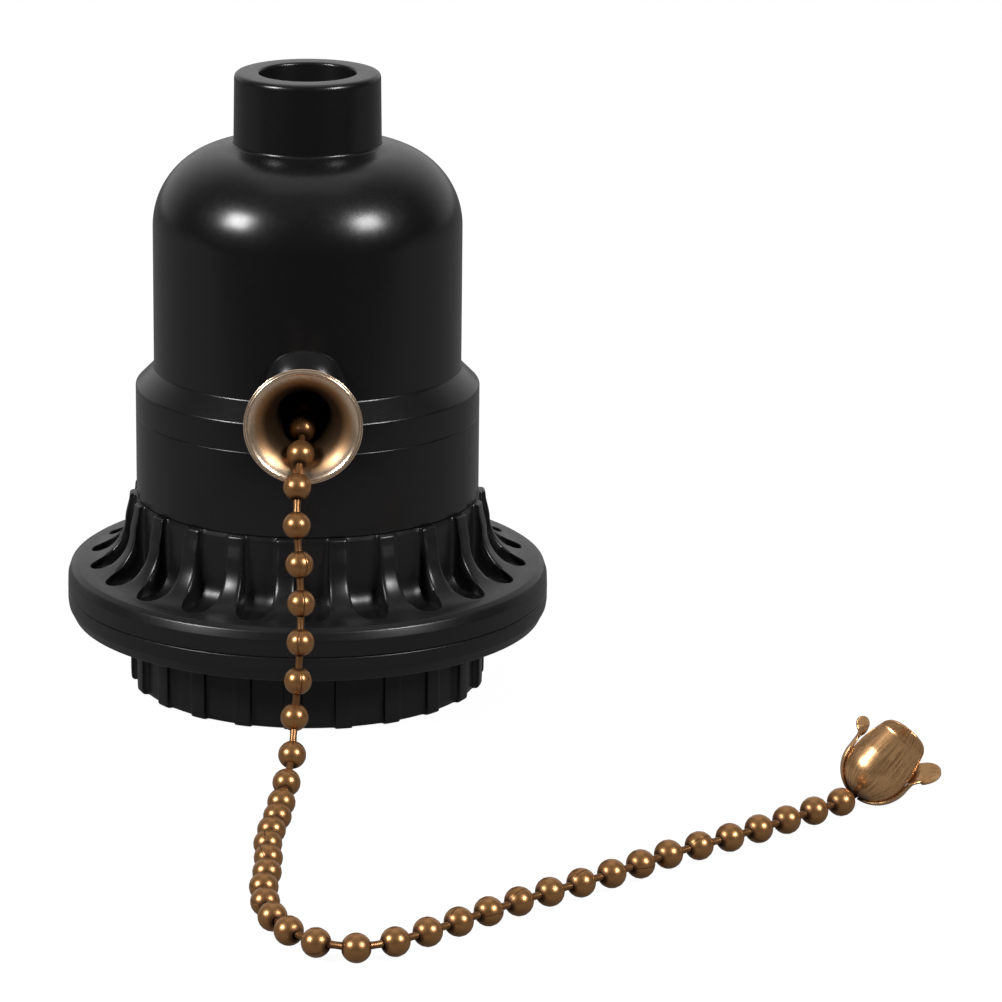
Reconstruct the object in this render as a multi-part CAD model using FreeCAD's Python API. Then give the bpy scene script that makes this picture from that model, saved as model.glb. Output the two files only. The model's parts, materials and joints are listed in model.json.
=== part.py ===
"""Pull-chain lamp holder with an E27 lamp entry, a chain switch and two shade rings.

Units are millimetres.  The origin is the centre of the lamp entry at the barrel's rim,
+Z runs up to the cable entry in the neck and -Y runs out along the chain guide.
"""
import FreeCAD, Part
import math
import os

V = FreeCAD.Vector

# ---- housing: heights of the outer form ----------------------------------------------
SHOULDER_Z = 23.3        # where the thread for the shade rings ends
SEAM_Z = 33.4            # barrel and cap meet
COLLAR_H = 2.9           # plain band of the cap above the seam
FLARE_H = 3.1            # concave step from the collar up to the dome
SHOULDER_ROUND = 9.6     # radius of the dome's shoulder
SHOULDER_BANDS = 5       # conical bands that make the rounding
DOME_H = 32.3            # from the seam to the dome's crest
NECK_H = 8.8             # neck above the dome's crest

# ---- housing: radii and walls --------------------------------------------------------
THREAD_R = 19.9          # crest of the shade ring thread, 40 mm across
COLLAR_R = THREAD_R + 0.7
DOME_R = COLLAR_R - 2.2
NECK_R = 8.75
NECK_DRAFT = 0.12        # the neck is this much slimmer at its top
NECK_EDGE = 0.6          # rounding of the neck's outer edge
NECK_FOOT = 1.1          # bevel between neck and dome
WALL = 2.3               # moulded wall of the cap
SKIRT_WALL = 3.9         # wall of the threaded skirt
SPIGOT_H = 2.6           # the barrel's spigot stands this far into the cap
SPIGOT_WALL = 1.3
FIT = 0.1                # clearance between pieces that slip together

# ---- cable entry ---------------------------------------------------------------------
ENTRY_R = 4.55           # core of the M10x1 thread
ENTRY_MOUTH_R = 5.7
ENTRY_MOUTH_H = 1.6

# ---- shade rings ---------------------------------------------------------------------
DRUM_R = THREAD_R + 1.6  # top of the lands on the drum
FLANGE_REACH = 7.5       # the flanges stand out from the drum, 58 mm across in all
FLANGE_SEAM_Z = 11.4     # the two flanges clamp the shade here
UPPER_FLANGE_T = 3.4
LOWER_FLANGE_T = 3.0
RING_FIT = 0.15          # thread clearance of the rings on the skirt
FLUTES = 22
FLUTE_W = 4.1
FLUTE_DEPTH = 0.72
UPPER_TURN = 9.0         # degrees from the front to the first land
LOWER_TURN = 11.5
UPPER_SWEEP = 5.3        # concave sweep of the lands into the flange
LOWER_SWEEP = 2.2
FLUTE_STOP = 2.7         # an upper flute ends this far inside the flange's edge
LOWER_FLUTE_STOP = 4.4
FLUTE_FLOOR_SWEEP = 2.7
LOWER_FLOOR_SWEEP = 1.2
FLUTE_SINK = 0.45        # the flute's floor lies this far under the flange's face
DRUM_TAPER = 0.5         # the upper drum is this much wider at its foot
FLANGE_EDGE = 0.5
RING_EDGE = 0.4

# ---- lamp contacts -------------------------------------------------------------------
SHELL_R = 13.1           # inside of the E27 screw shell
SHEET = 0.35             # brass sheet
SHELL_MOUTH_Z = 3.5
SHELL_THREAD_H = 13.0
SHELL_NECK_R = 10.8
BLOCK_Z = 21.5           # underside of the contact block
BLOCK_T = 5.5
SHELL_HOLE_R = 6.9
RIVET_R = 1.0
RIVET_HEAD_R = 1.7
RIVET_HEAD_T = 0.7
RIVET_SIDES = 10
RIVET_AT = 8.8           # shell rivets from the axis
TONGUE_W = 5.0
TONGUE_T = 0.45
TONGUE_TIP_Z = 17.4
TONGUE_RIVET_X = -4.4

# ---- chain guide ---------------------------------------------------------------------
GUIDE_Z = 40.1           # height of the guide's axis
MOUTH_Y = 33.0           # mouth of the bell in front of the axis
MOUTH_R = 6.45
BELL_LENGTH = 11.2
BELL_WALL = 0.45
RIM_ROLL = 0.38
TUBE_BORE_R = 2.15
TUBE_R = 2.95
BOSS_R = 5.2
BOSS_FACE_Y = 21.4
BOSS_EDGE = 0.7
BOSS_SPREAD = 1.4        # the boss is this much wider where it meets the dome
BOSS_SEAT = 0.8          # collar of the guide on the boss
BELL_CURVE = [(0.3, 0.1), (0.62, 0.38), (0.84, 0.71)]  # shares of length and of opening
NUT_R = 4.6
NUT_T = 1.4
NUT_INSET = 0.9          # the nut's corners clear the cap's round bore by standing this far in

# ---- ball chain ----------------------------------------------------------------------
BEAD_R = 1.6
CHAIN_PITCH = 4.42
BEADS = 45
BEAD_SIDES = 8
BEAD_BANDS = 4
BEAD_FLAT_ANGLE = 70.0   # where the bead's holes begin, from its waist
LINK_R = 0.42
LINK_SIDES = 6
LINK_START = 1.35        # a link leaves its bead this far from the bead's centre

# ---- tulip pull ----------------------------------------------------------------------
TULIP_R = 4.2
TULIP_WALL = 0.35
TULIP_LENGTH = 9.4
TULIP_FLARE = 2.3        # the petals' tips turn out this far
TULIP_HOLE_R = 1.05
PETALS = 4
PETAL_SLIT = 0.5
TULIP_SIDES = 16
TULIP_TILT = 47.0        # degrees above the floor
TULIP_HEADING = 18.0     # degrees from +X towards +Y
TULIP_LEAD = 6.3         # from the last bead outside to the centre of the cup's round end
TULIP_LEAD_HEADING = 49.0
TULIP_WAIST = 0.15
PETAL_ROOT_H = 0.4       # the slits begin this far above the round end
PETAL_SPREAD = 1.9       # the gaps open this much on each side at the tips
FLOOR_GAP = 0.02

# ---- switch --------------------------------------------------------------------------
SHAFT_Y = -7.0
LEVER_ARM = 11.3
LEVER_SWING = 20.7       # degrees each side of upright
SHAFT_R = 1.0
SHAFT_FIT = 0.05
CHEEK_X = 7.4            # inner face of the frame's cheeks
CHEEK_T = 1.6
FRAME_BASE_T = 2.2
FRAME_DEPTH = 15.0
FRAME_CLEAR = 0.5        # the frame keeps this far inside the cap's bore
FRAME_HEAD = 3.2         # the cheeks stand this far above the shaft
FRAME_STEP = 9.0         # height of the wide foot of the cheeks
LEVER_W = 4.4
LEVER_T = 0.6
LEVER_HUB_R = 2.2
LEVER_SLOT = 1.5
LEVER_TIP = 2.6          # the fork reaches this far past the chain
ROTOR_R = 4.4
ROTOR_W = 4.0
ROTOR_TEETH = 8
ROTOR_TOOTH = 0.8
ROTOR_RAKE = 6.0
WHEEL_W = 1.4
SIDE_GAP = 0.3           # running gap between neighbours on the shaft
BLADE_T = 0.35           # contact blades and detent, strip metal
BLADE_FOOT = 4.6
BLADE_GAP = 0.06         # from a blade to the circle that the rotor sweeps
PAWL_L = 3.2
FRAME_SCREWS = [(-5.0, -7.0), (0.4, 0.5)]
FRAME_SCREW_R = 0.95
FRAME_SCREW_HEAD_R = 1.6
FRAME_SCREW_HEAD_T = 1.1
FRAME_SCREW_DEPTH = 3.0  # reach into the contact block
SPRING_WIRE = 0.8
SPRING_TURNS = 2
TERMINAL_T = 0.8
TERMINAL_EDGE = 3.0      # from a terminal plate's outer edge to the spigot's bore
TERMINAL_GAP = 0.1       # from its inner edge to the switch frame
TERMINAL_Y = 5.0
TERMINAL_L = 7.0
SCREW_GRIP = 2.6
SCREW_R = 1.45
SCREW_RIM = 0.1          # the head is this much wider than its plate, on each side
SCREW_HEAD_T = 1.6
SCREW_SLOT = 0.6

# ---- places that follow from the sizes above -----------------------------------------
COLLAR_TOP_Z = SEAM_Z + COLLAR_H
FLARE_TOP_Z = COLLAR_TOP_Z + FLARE_H
CREST_Z = SEAM_Z + DOME_H
NECK_TOP_Z = CREST_Z + NECK_H
RING_BORE_R = THREAD_R + RING_FIT
FLANGE_R = DRUM_R + FLANGE_REACH
FLUTE_END_R = FLANGE_R - FLUTE_STOP
LOWER_FLUTE_END_R = FLANGE_R - LOWER_FLUTE_STOP
SKIRT_BORE_R = THREAD_R - SKIRT_WALL
SPIGOT_R = COLLAR_R - WALL + FIT
TERMINAL_OUT_X = SPIGOT_R - SPIGOT_WALL - TERMINAL_EDGE
TERMINAL_IN_X = CHEEK_X + CHEEK_T + TERMINAL_GAP
TERMINAL_X = (TERMINAL_OUT_X + TERMINAL_IN_X) / 2
TERMINAL_W = TERMINAL_OUT_X - TERMINAL_IN_X
SCREW_HEAD_R = TERMINAL_W / 2 + SCREW_RIM
NUT_SEAT_Y = DOME_R - WALL - NUT_INSET
TUBE_INNER_Y = NUT_SEAT_Y - NUT_T
BLOCK_TOP_Z = BLOCK_Z + BLOCK_T
SHELL_RIVETS = [(0, RIVET_AT), (0, -RIVET_AT)]
TONGUE_RIVET = [(TONGUE_RIVET_X, 0)]
FRAME_Z = BLOCK_TOP_Z
FRAME_TOP_Z = FRAME_Z + FRAME_BASE_T
ROTOR_X = LEVER_W / 2 + SIDE_GAP
LEVER_DROP = LEVER_ARM * math.cos(math.radians(LEVER_SWING))
LEVER_REACH = LEVER_ARM * math.sin(math.radians(LEVER_SWING))
SHAFT_Z = GUIDE_Z + LEVER_DROP
CHAIN_END_Y = SHAFT_Y + LEVER_REACH + CHAIN_PITCH / 2

# The chain's route: out along the guide, over the bell's lip, down and along the floor.
FLOOR_Z = BEAD_R + FLOOR_GAP
CHAIN_ROUTE = [
    (0.0, CHAIN_END_Y, GUIDE_Z), (0.0, -14.0, GUIDE_Z), (0.0, -22.4, GUIDE_Z),
    (-0.2, -31.5, 37.4), (-0.9, -36.7, 31.7), (0.0, -38.4, 21.8), (-0.3, -40.9, 13.8),
    (-0.9, -39.9, 8.1), (-1.0, -42.7, 4.0), (-2.0, -49.0, FLOOR_Z), (-2.5, -56.4, FLOOR_Z),
    (-3.5, -63.0, FLOOR_Z), (-3.0, -70.8, FLOOR_Z), (-3.7, -79.9, FLOOR_Z), (-1.9, -88.7, FLOOR_Z),
    (2.7, -94.5, FLOOR_Z), (7.8, -95.5, FLOOR_Z), (14.7, -89.8, FLOOR_Z), (24.1, -80.7, FLOOR_Z),
    (34.7, -72.3, FLOOR_Z), (40.4, -66.4, FLOOR_Z), (46.6, -62.1, FLOOR_Z), (53.6, -56.0, FLOOR_Z),
    (64.0, -46.5, FLOOR_Z),
]


# ---- general helpers -----------------------------------------------------------------
def save(name, shape):
    """Write one sub-part; several solids of one kind go out as a group."""
    shape.exportStep("parts/" + name + ".step")
    print(name, "solids", len(shape.Solids), "volume", round(shape.Volume, 2))


def polygon_face(points, place):
    corners = [place(point) for point in points]
    return Part.Face(Part.makePolygon(corners + corners[:1]))


def turned(*points):
    """A solid of revolution about Z from an outline of (radius, height) points."""
    face = polygon_face(points, lambda p: V(p[0], 0, p[1]))
    return face.revolve(V(0, 0, 0), V(0, 0, 1), 360)


def turned_on_guide(*points):
    """A solid of revolution about the guide's axis from (radius, distance in front) points."""
    face = polygon_face(points, lambda p: V(0, -p[1], GUIDE_Z + p[0]))
    return face.revolve(V(0, 0, GUIDE_Z), V(0, -1, 0), 360)


def cylinder(radius, length, base, axis=V(0, 0, 1)):
    return Part.makeCylinder(radius, length, base, axis)


def box(low, high):
    return Part.makeBox(high[0] - low[0], high[1] - low[1], high[2] - low[2], V(*low))


def on_arc(centre, radius, degrees):
    angle = math.radians(degrees)
    return (centre[0] + radius * math.cos(angle), centre[1] + radius * math.sin(angle))


def bend(centre, radius, start, end, bands):
    """Points of a rounded stretch, from one angle to another, in a few straight bands."""
    count = int(bands)
    step = (end - start) / count
    return [on_arc(centre, radius, start + step * k) for k in range(count + 1)]


def about_z(shape, degrees):
    copy = shape.copy()
    copy.rotate(V(0, 0, 0), V(0, 0, 1), degrees)
    return copy


# ---- housing -------------------------------------------------------------------------
def cap_outside():
    """Dome, concave flare, collar and neck as one turned form."""
    shoulder = (DOME_R - SHOULDER_ROUND, CREST_Z - SHOULDER_ROUND)
    foot_r = NECK_R + NECK_FOOT
    foot_angle = math.degrees(math.acos((foot_r - shoulder[0]) / SHOULDER_ROUND))
    step_r = COLLAR_R - DOME_R
    top_r = NECK_R - NECK_DRAFT
    return turned(
        (0, SEAM_Z), (COLLAR_R, SEAM_Z), (COLLAR_R, COLLAR_TOP_Z),
        (COLLAR_R - step_r * 0.25, COLLAR_TOP_Z + FLARE_H * 0.35),
        (DOME_R + step_r * 0.22, COLLAR_TOP_Z + FLARE_H * 0.68), (DOME_R, FLARE_TOP_Z),
        *bend(shoulder, SHOULDER_ROUND, 0, foot_angle, SHOULDER_BANDS),
        (NECK_R, CREST_Z + NECK_FOOT * 0.55), (top_r, NECK_TOP_Z - NECK_EDGE),
        (top_r - NECK_EDGE, NECK_TOP_Z), (0, NECK_TOP_Z))


def cap_inside():
    """The hollow of the cap with the cable entry through the neck."""
    bore_r = DOME_R - WALL
    shoulder_z = CREST_Z - SHOULDER_ROUND
    inner_round = SHOULDER_ROUND - WALL
    roof_r = bore_r - inner_round
    roof_z = shoulder_z + inner_round
    return turned(
        (0, SEAM_Z - 1), (SPIGOT_R + FIT, SEAM_Z - 1), (SPIGOT_R + FIT, SEAM_Z + SPIGOT_H + FIT),
        (bore_r, COLLAR_TOP_Z + FIT), (bore_r, shoulder_z),
        (bore_r - inner_round * 0.3, shoulder_z + inner_round * 0.7), (roof_r, roof_z),
        (ENTRY_R, roof_z), (ENTRY_R, NECK_TOP_Z - ENTRY_MOUTH_H),
        (ENTRY_MOUTH_R, NECK_TOP_Z), (ENTRY_MOUTH_R, NECK_TOP_Z + 1), (0, NECK_TOP_Z + 1))


def boss():
    """The swelling of the cap that carries the chain guide."""
    root_y = DOME_R - WALL / 2
    return turned_on_guide((0, root_y), (BOSS_R + BOSS_SPREAD, root_y), (BOSS_R, BOSS_FACE_Y - BOSS_EDGE),
                           (BOSS_R - BOSS_EDGE, BOSS_FACE_Y), (0, BOSS_FACE_Y))


def make_cap():
    body = cap_outside().fuse(boss())
    body = body.cut(cap_inside())
    tube_hole = cylinder(TUBE_R + FIT / 2, BOSS_FACE_Y + 1, V(0, 0, GUIDE_Z), V(0, -1, 0))
    return body.cut(tube_hole).removeSplitter()


def make_barrel():
    """Lower housing: collar, threaded skirt, ledge for the contact block and spigot."""
    spigot_bore_r = SPIGOT_R - SPIGOT_WALL
    return turned(
        (SKIRT_BORE_R, 0), (THREAD_R, 0), (THREAD_R, SHOULDER_Z), (COLLAR_R, SHOULDER_Z),
        (COLLAR_R, SEAM_Z), (SPIGOT_R, SEAM_Z), (SPIGOT_R, SEAM_Z + SPIGOT_H),
        (spigot_bore_r, SEAM_Z + SPIGOT_H), (spigot_bore_r, BLOCK_Z), (SKIRT_BORE_R, BLOCK_Z))


# ---- shade rings ---------------------------------------------------------------------
def scoop(floor_r, floor_z, sweep, end_r, open_z):
    """One flute: a vertical floor that sweeps out in flats and ends in a blunt scoop."""
    up = 1 if open_z > floor_z else -1
    half = FLUTE_W / 2
    sweep_centre = (floor_r + sweep, floor_z + up * sweep)
    floor = bend(sweep_centre, sweep, 180, 180 + up * 90, 3)
    side = [(floor_r, open_z)] + floor + [(end_r + 1, floor_z), (end_r + 1, open_z)]
    slab = polygon_face(side, lambda p: V(p[0], -half, p[1])).extrude(V(0, FLUTE_W, 0))
    low = min(floor_z, open_z) - 1
    height = abs(open_z - floor_z) + 2
    plan = [(floor_r - 1, -half)] + bend((end_r - half, 0), half, -90, 90, 4) + [(floor_r - 1, half)]
    post = polygon_face(plan, lambda p: V(p[0], p[1], low)).extrude(V(0, 0, height))
    return slab.common(post)


def fluted(blank, cutter, first_land):
    """Cut the flutes between the lands; angles run from the front (-Y) towards +X."""
    step = 360.0 / FLUTES
    cutters = [about_z(cutter, -90 + first_land + step * (k + 0.5)) for k in range(FLUTES)]
    return blank.cut(Part.makeCompound(cutters))


def make_upper_ring():
    face_z = FLANGE_SEAM_Z + UPPER_FLANGE_T
    foot_r = DRUM_R + DRUM_TAPER
    sweep = (foot_r + UPPER_SWEEP, face_z + UPPER_SWEEP)
    blank = turned(
        (RING_BORE_R, FLANGE_SEAM_Z), (FLANGE_R, FLANGE_SEAM_Z), (FLANGE_R, face_z - FLANGE_EDGE),
        (FLANGE_R - FLANGE_EDGE, face_z), *bend(sweep, UPPER_SWEEP, 270, 180, 5),
        (DRUM_R, SHOULDER_Z - RING_EDGE), (DRUM_R - RING_EDGE, SHOULDER_Z), (RING_BORE_R, SHOULDER_Z))
    cutter = scoop(DRUM_R - FLUTE_DEPTH, face_z - FLUTE_SINK, FLUTE_FLOOR_SWEEP,
                   FLUTE_END_R, SHOULDER_Z + 1)
    return fluted(blank, cutter, UPPER_TURN)


def make_lower_ring():
    face_z = FLANGE_SEAM_Z - LOWER_FLANGE_T
    sweep = (DRUM_R + LOWER_SWEEP, face_z - LOWER_SWEEP)
    blank = turned(
        (RING_BORE_R, 0), (DRUM_R - RING_EDGE, 0), (DRUM_R, RING_EDGE),
        *bend(sweep, LOWER_SWEEP, 180, 90, 3), (FLANGE_R - FLANGE_EDGE, face_z),
        (FLANGE_R, face_z + FLANGE_EDGE), (FLANGE_R, FLANGE_SEAM_Z), (RING_BORE_R, FLANGE_SEAM_Z))
    cutter = scoop(DRUM_R - FLUTE_DEPTH, face_z + FLUTE_SINK / 3, LOWER_FLOOR_SWEEP,
                   LOWER_FLUTE_END_R, -1)
    return fluted(blank, cutter, LOWER_TURN)


# ---- lamp contacts -------------------------------------------------------------------
def rivet(x, y, low, high):
    """A rivet with a head at each end."""
    top = high - low
    shape = facetted([(RIVET_HEAD_R, -RIVET_HEAD_T), (RIVET_HEAD_R, 0), (RIVET_R, 0), (RIVET_R, top),
                      (RIVET_HEAD_R, top), (RIVET_HEAD_R, top + RIVET_HEAD_T)], RIVET_SIDES)
    return placed(shape, V(x, y, low), V(0, 0, 1))


def rivet_holes(places, low, high):
    return Part.makeCompound([cylinder(RIVET_R + FIT / 2, high - low, V(x, y, low))
                              for x, y in places])


def make_screw_shell():
    """Brass cup that takes the lamp: threaded wall, drawn-in neck and a flange under the block."""
    thread_top = SHELL_MOUTH_Z + SHELL_THREAD_H
    cup = turned(
        (SHELL_R, SHELL_MOUTH_Z), (SHELL_R + SHEET, SHELL_MOUTH_Z), (SHELL_R + SHEET, thread_top),
        (SHELL_NECK_R + SHEET, BLOCK_Z), (SHELL_HOLE_R, BLOCK_Z), (SHELL_HOLE_R, BLOCK_Z - SHEET),
        (SHELL_NECK_R, BLOCK_Z - SHEET), (SHELL_R, thread_top))
    return cup.cut(rivet_holes(SHELL_RIVETS, BLOCK_Z - 1, BLOCK_Z + 1))


def make_contact_block():
    """Moulded disc that carries the screw shell, the centre contact and the terminals."""
    radius = SPIGOT_R - SPIGOT_WALL - FIT
    block = cylinder(radius, BLOCK_T, V(0, 0, BLOCK_Z))
    for side in (-1, 1):
        screw_hole = cylinder(SCREW_R + FIT, BLOCK_T, V(side * TERMINAL_X, TERMINAL_Y, BLOCK_Z + 1))
        block = block.cut(screw_hole)
    for x, y in FRAME_SCREWS:
        block = block.cut(cylinder(FRAME_SCREW_R + FIT / 2, BLOCK_T, V(x, y, BLOCK_Z + 1)))
    return block.cut(rivet_holes(SHELL_RIVETS + TONGUE_RIVET, BLOCK_Z - 1, BLOCK_TOP_Z + 1))


def make_shell_rivets():
    rivets = [rivet(x, y, BLOCK_Z - SHEET, BLOCK_TOP_Z) for x, y in SHELL_RIVETS]
    return Part.makeCompound(rivets)


def make_centre_contact():
    """Sprung brass tongue that meets the lamp's tip."""
    top = BLOCK_Z
    t = TONGUE_T
    tip = TONGUE_TIP_Z
    root_x = TONGUE_RIVET_X - RIVET_HEAD_R
    side = [(root_x, top), (-2.2, top), (1.2, tip + t + 0.5), (3.4, tip + t), (5.0, tip + 1.3),
            (5.0 + t, tip + 1.0), (3.5, tip), (0.9, tip + 0.4), (-2.5, top - t), (root_x, top - t)]
    tongue = polygon_face(side, lambda p: V(p[0], -TONGUE_W / 2, p[1])).extrude(V(0, TONGUE_W, 0))
    return tongue.cut(rivet_holes(TONGUE_RIVET, top - 1, top + 1))


def make_tongue_rivet():
    x, y = TONGUE_RIVET[0]
    return rivet(x, y, BLOCK_Z - TONGUE_T, BLOCK_TOP_Z)


# ---- chain guide ---------------------------------------------------------------------
def make_bell_guide():
    """Trumpet with a rolled rim and a threaded tube that goes through the cap."""
    back_y = MOUTH_Y - BELL_LENGTH
    flare = []
    for share, opening in BELL_CURVE:
        flare.append((TUBE_BORE_R + (MOUTH_R - TUBE_BORE_R) * opening, back_y + BELL_LENGTH * share))
    outside = [(radius + BELL_WALL, y) for radius, y in flare]
    lip_y = MOUTH_Y - RIM_ROLL
    return turned_on_guide(
        (TUBE_BORE_R, TUBE_INNER_Y), (TUBE_R, TUBE_INNER_Y), (TUBE_R, BOSS_FACE_Y),
        (TUBE_R + BOSS_SEAT, BOSS_FACE_Y), (TUBE_R + BOSS_SEAT, back_y + BOSS_SEAT / 2), *outside,
        (MOUTH_R, lip_y - RIM_ROLL), (MOUTH_R + RIM_ROLL, lip_y), (MOUTH_R, MOUTH_Y),
        (MOUTH_R - RIM_ROLL, lip_y), *reversed(flare))


def make_guide_nut():
    """Hexagon nut on the guide's tube inside the cap."""
    corners = bend((0, 0), NUT_R, 0, 300, 5)
    nut = polygon_face(corners, lambda p: V(p[0], -NUT_SEAT_Y, GUIDE_Z + p[1])).extrude(V(0, NUT_T, 0))
    return nut.cut(cylinder(TUBE_R + FIT / 2, COLLAR_R, V(0, 0, GUIDE_Z), V(0, -1, 0)))


# ---- ball chain ----------------------------------------------------------------------
def route_curve():
    """The chain's line: a smooth curve of degree 2 that the route's points pull on."""
    poles = [V(*point) for point in CHAIN_ROUTE]
    spans = len(poles) - 2
    curve = Part.BSplineCurve()
    curve.buildFromPolesMultsKnots(poles, [3] + [1] * (spans - 1) + [3],
                                   list(range(spans + 1)), False, 2)
    return curve


def bead_centres():
    """Centres one pitch apart, stepped along the route."""
    curve = route_curve()
    centres = [curve.value(0)]
    at = 0.0
    while len(centres) < BEADS:
        low = at
        high = at + 0.01
        while curve.value(high).distanceToPoint(centres[-1]) < CHAIN_PITCH:
            high += 0.01
        for _ in range(30):
            middle = (low + high) / 2
            near = curve.value(middle).distanceToPoint(centres[-1]) < CHAIN_PITCH
            low, high = (middle, high) if near else (low, middle)
        at = high
        centres.append(curve.value(at))
    return centres


def facetted(radii_at, sides):
    """A closed solid of polygon rings, one for each (radius, height) pair along Z."""
    rings = []
    for radius, height in radii_at:
        rings.append([V(x, y, height) for x, y in bend((0, 0), radius, 0, 360, sides)])
    faces = [Part.Face(Part.makePolygon(rings[0])), Part.Face(Part.makePolygon(rings[-1]))]
    for low, high in zip(rings, rings[1:]):
        for k in range(sides):
            corners = [low[k], low[k + 1], high[k + 1], high[k], low[k]]
            faces.append(Part.Face(Part.makePolygon(corners)))
    return Part.makeSolid(Part.makeShell(faces))


def placed(shape, point, direction):
    copy = shape.copy()
    copy.Placement = FreeCAD.Placement(point, FreeCAD.Rotation(V(0, 0, 1), direction))
    return copy


def make_chain_beads(centres):
    """The hollow beads; the last one is held inside the tulip pull."""
    bead = facetted(bend((0, 0), BEAD_R, -BEAD_FLAT_ANGLE, BEAD_FLAT_ANGLE, BEAD_BANDS), BEAD_SIDES)
    beads = []
    last = len(centres) - 1
    for k, centre in enumerate(centres):
        along = centres[min(k + 1, last)] - centres[max(k - 1, 0)]
        beads.append(placed(bead, centre, along))
    held = tulip_centre(centres[-1]) - tulip_axis() * (TULIP_R - TULIP_WALL - BEAD_R - FIT)
    beads.append(placed(bead, held, tulip_axis()))
    return Part.makeCompound(beads)


def wire_between(start, end):
    along = (end - start).normalize()
    link = facetted([(LINK_R, 0), (LINK_R, start.distanceToPoint(end))], LINK_SIDES)
    return placed(link, start, along)


def make_chain_links(centres):
    """Short wire links; the last one bends through the hole of the tulip pull."""
    links = []
    for near, far in zip(centres, centres[1:]):
        along = (far - near).normalize() * LINK_START
        links.append(wire_between(near + along, far - along))
    axis = tulip_axis()
    hole = tulip_centre(centres[-1]) - axis * (TULIP_R - TULIP_WALL / 2)
    along = (hole - centres[-1]).normalize() * LINK_START
    outside = wire_between(centres[-1] + along, hole)
    inside = wire_between(hole - axis * 0.1, hole + axis * (TULIP_WALL / 2 + BEAD_R + FIT - LINK_START))
    links.append(outside.fuse(inside))
    return Part.makeCompound(links)


# ---- tulip pull ----------------------------------------------------------------------
def tulip_axis():
    tilt = math.radians(TULIP_TILT)
    heading = math.radians(TULIP_HEADING)
    return V(math.cos(tilt) * math.cos(heading), math.cos(tilt) * math.sin(heading), math.sin(tilt))


def tulip_centre(last_bead):
    """Centre of the cup's round end: on the floor and clear of the last bead."""
    heading = math.radians(TULIP_LEAD_HEADING)
    rise = TULIP_R + FLOOR_GAP - last_bead.z
    flat = math.sqrt(TULIP_LEAD * TULIP_LEAD - rise * rise)
    return last_bead + V(flat * math.cos(heading), flat * math.sin(heading), rise)


def make_tulip(centre):
    """A cup whose wall divides into four petals with turned-out tips."""
    inner = TULIP_R - TULIP_WALL
    lip = TULIP_LENGTH - TULIP_R
    tip_r = TULIP_R + TULIP_FLARE
    waist = (TULIP_R - TULIP_WAIST, lip * 0.55)
    outside = bend((0, 0), TULIP_R, -72, 0, 3)
    outside += [waist, (TULIP_R + 0.3, lip * 0.8), (tip_r - 0.6, lip * 0.97), (tip_r, lip)]
    inside = bend((0, 0), inner, -66, 0, 2)
    inside += [(waist[0] - TULIP_WALL, waist[1]), (TULIP_R - 0.1, lip * 0.86),
               (tip_r - 0.5, lip + 0.05), (tip_r + 0.1, lip + TULIP_WALL)]
    cup = facetted(outside, TULIP_SIDES).cut(facetted(inside, TULIP_SIDES))
    half = PETAL_SLIT / 2
    slit = [(-half, PETAL_ROOT_H), (half, PETAL_ROOT_H), (half + PETAL_SPREAD * 0.4, lip * 0.7),
            (half + PETAL_SPREAD, lip + 1), (-half - PETAL_SPREAD, lip + 1),
            (-half - PETAL_SPREAD * 0.4, lip * 0.7)]
    gap = polygon_face(slit, lambda p: V(0, p[0], p[1])).extrude(V(tip_r + 1, 0, 0))
    step = 360.0 / PETALS
    cup = cup.cut(Part.makeCompound([about_z(gap, step * (k + 0.5)) for k in range(PETALS)]))
    hole = facetted([(TULIP_HOLE_R, -TULIP_R - 1), (TULIP_HOLE_R, 0)], TULIP_SIDES // 2)
    return placed(cup.cut(hole), centre, tulip_axis())


# ---- switch --------------------------------------------------------------------------
def hole_on_shaft(radius):
    return cylinder(radius, 2 * COLLAR_R, V(-COLLAR_R, SHAFT_Y, SHAFT_Z), V(1, 0, 0))


def make_switch_frame():
    """Moulded yoke on the contact block: a base with two cheeks that carry the shaft."""
    front = SHAFT_Y - FRAME_DEPTH * 0.3
    back = front + FRAME_DEPTH
    outer_x = CHEEK_X + CHEEK_T
    top = SHAFT_Z + FRAME_HEAD
    cheek = [(front, FRAME_Z), (back, FRAME_Z), (back, FRAME_Z + FRAME_STEP)]
    cheek += bend((SHAFT_Y, SHAFT_Z), FRAME_HEAD, 0, 180, 4) + [(front, FRAME_Z + FRAME_STEP)]
    yoke = polygon_face(cheek, lambda p: V(-outer_x, p[0], p[1])).extrude(V(2 * outer_x, 0, 0))
    room = cylinder(DOME_R - WALL - FRAME_CLEAR, top, V(0, 0, FRAME_Z))
    yoke = yoke.common(room)
    yoke = yoke.cut(box((-CHEEK_X, front - 1, FRAME_TOP_Z), (CHEEK_X, back + 1, top + 1)))
    yoke = yoke.cut(hole_on_shaft(SHAFT_R + SHAFT_FIT))
    pockets = [cylinder(FRAME_SCREW_R + FIT / 2, FRAME_BASE_T + 2, V(x, y, FRAME_Z - 1))
               for x, y in FRAME_SCREWS]
    for x, y in SHELL_RIVETS + TONGUE_RIVET:
        size = RIVET_HEAD_R + FIT
        pockets.append(box((x - size, y - size, FRAME_Z - 1),
                           (x + size, y + size, FRAME_Z + RIVET_HEAD_T + FIT)))
    return yoke.cut(Part.makeCompound(pockets))


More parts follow.
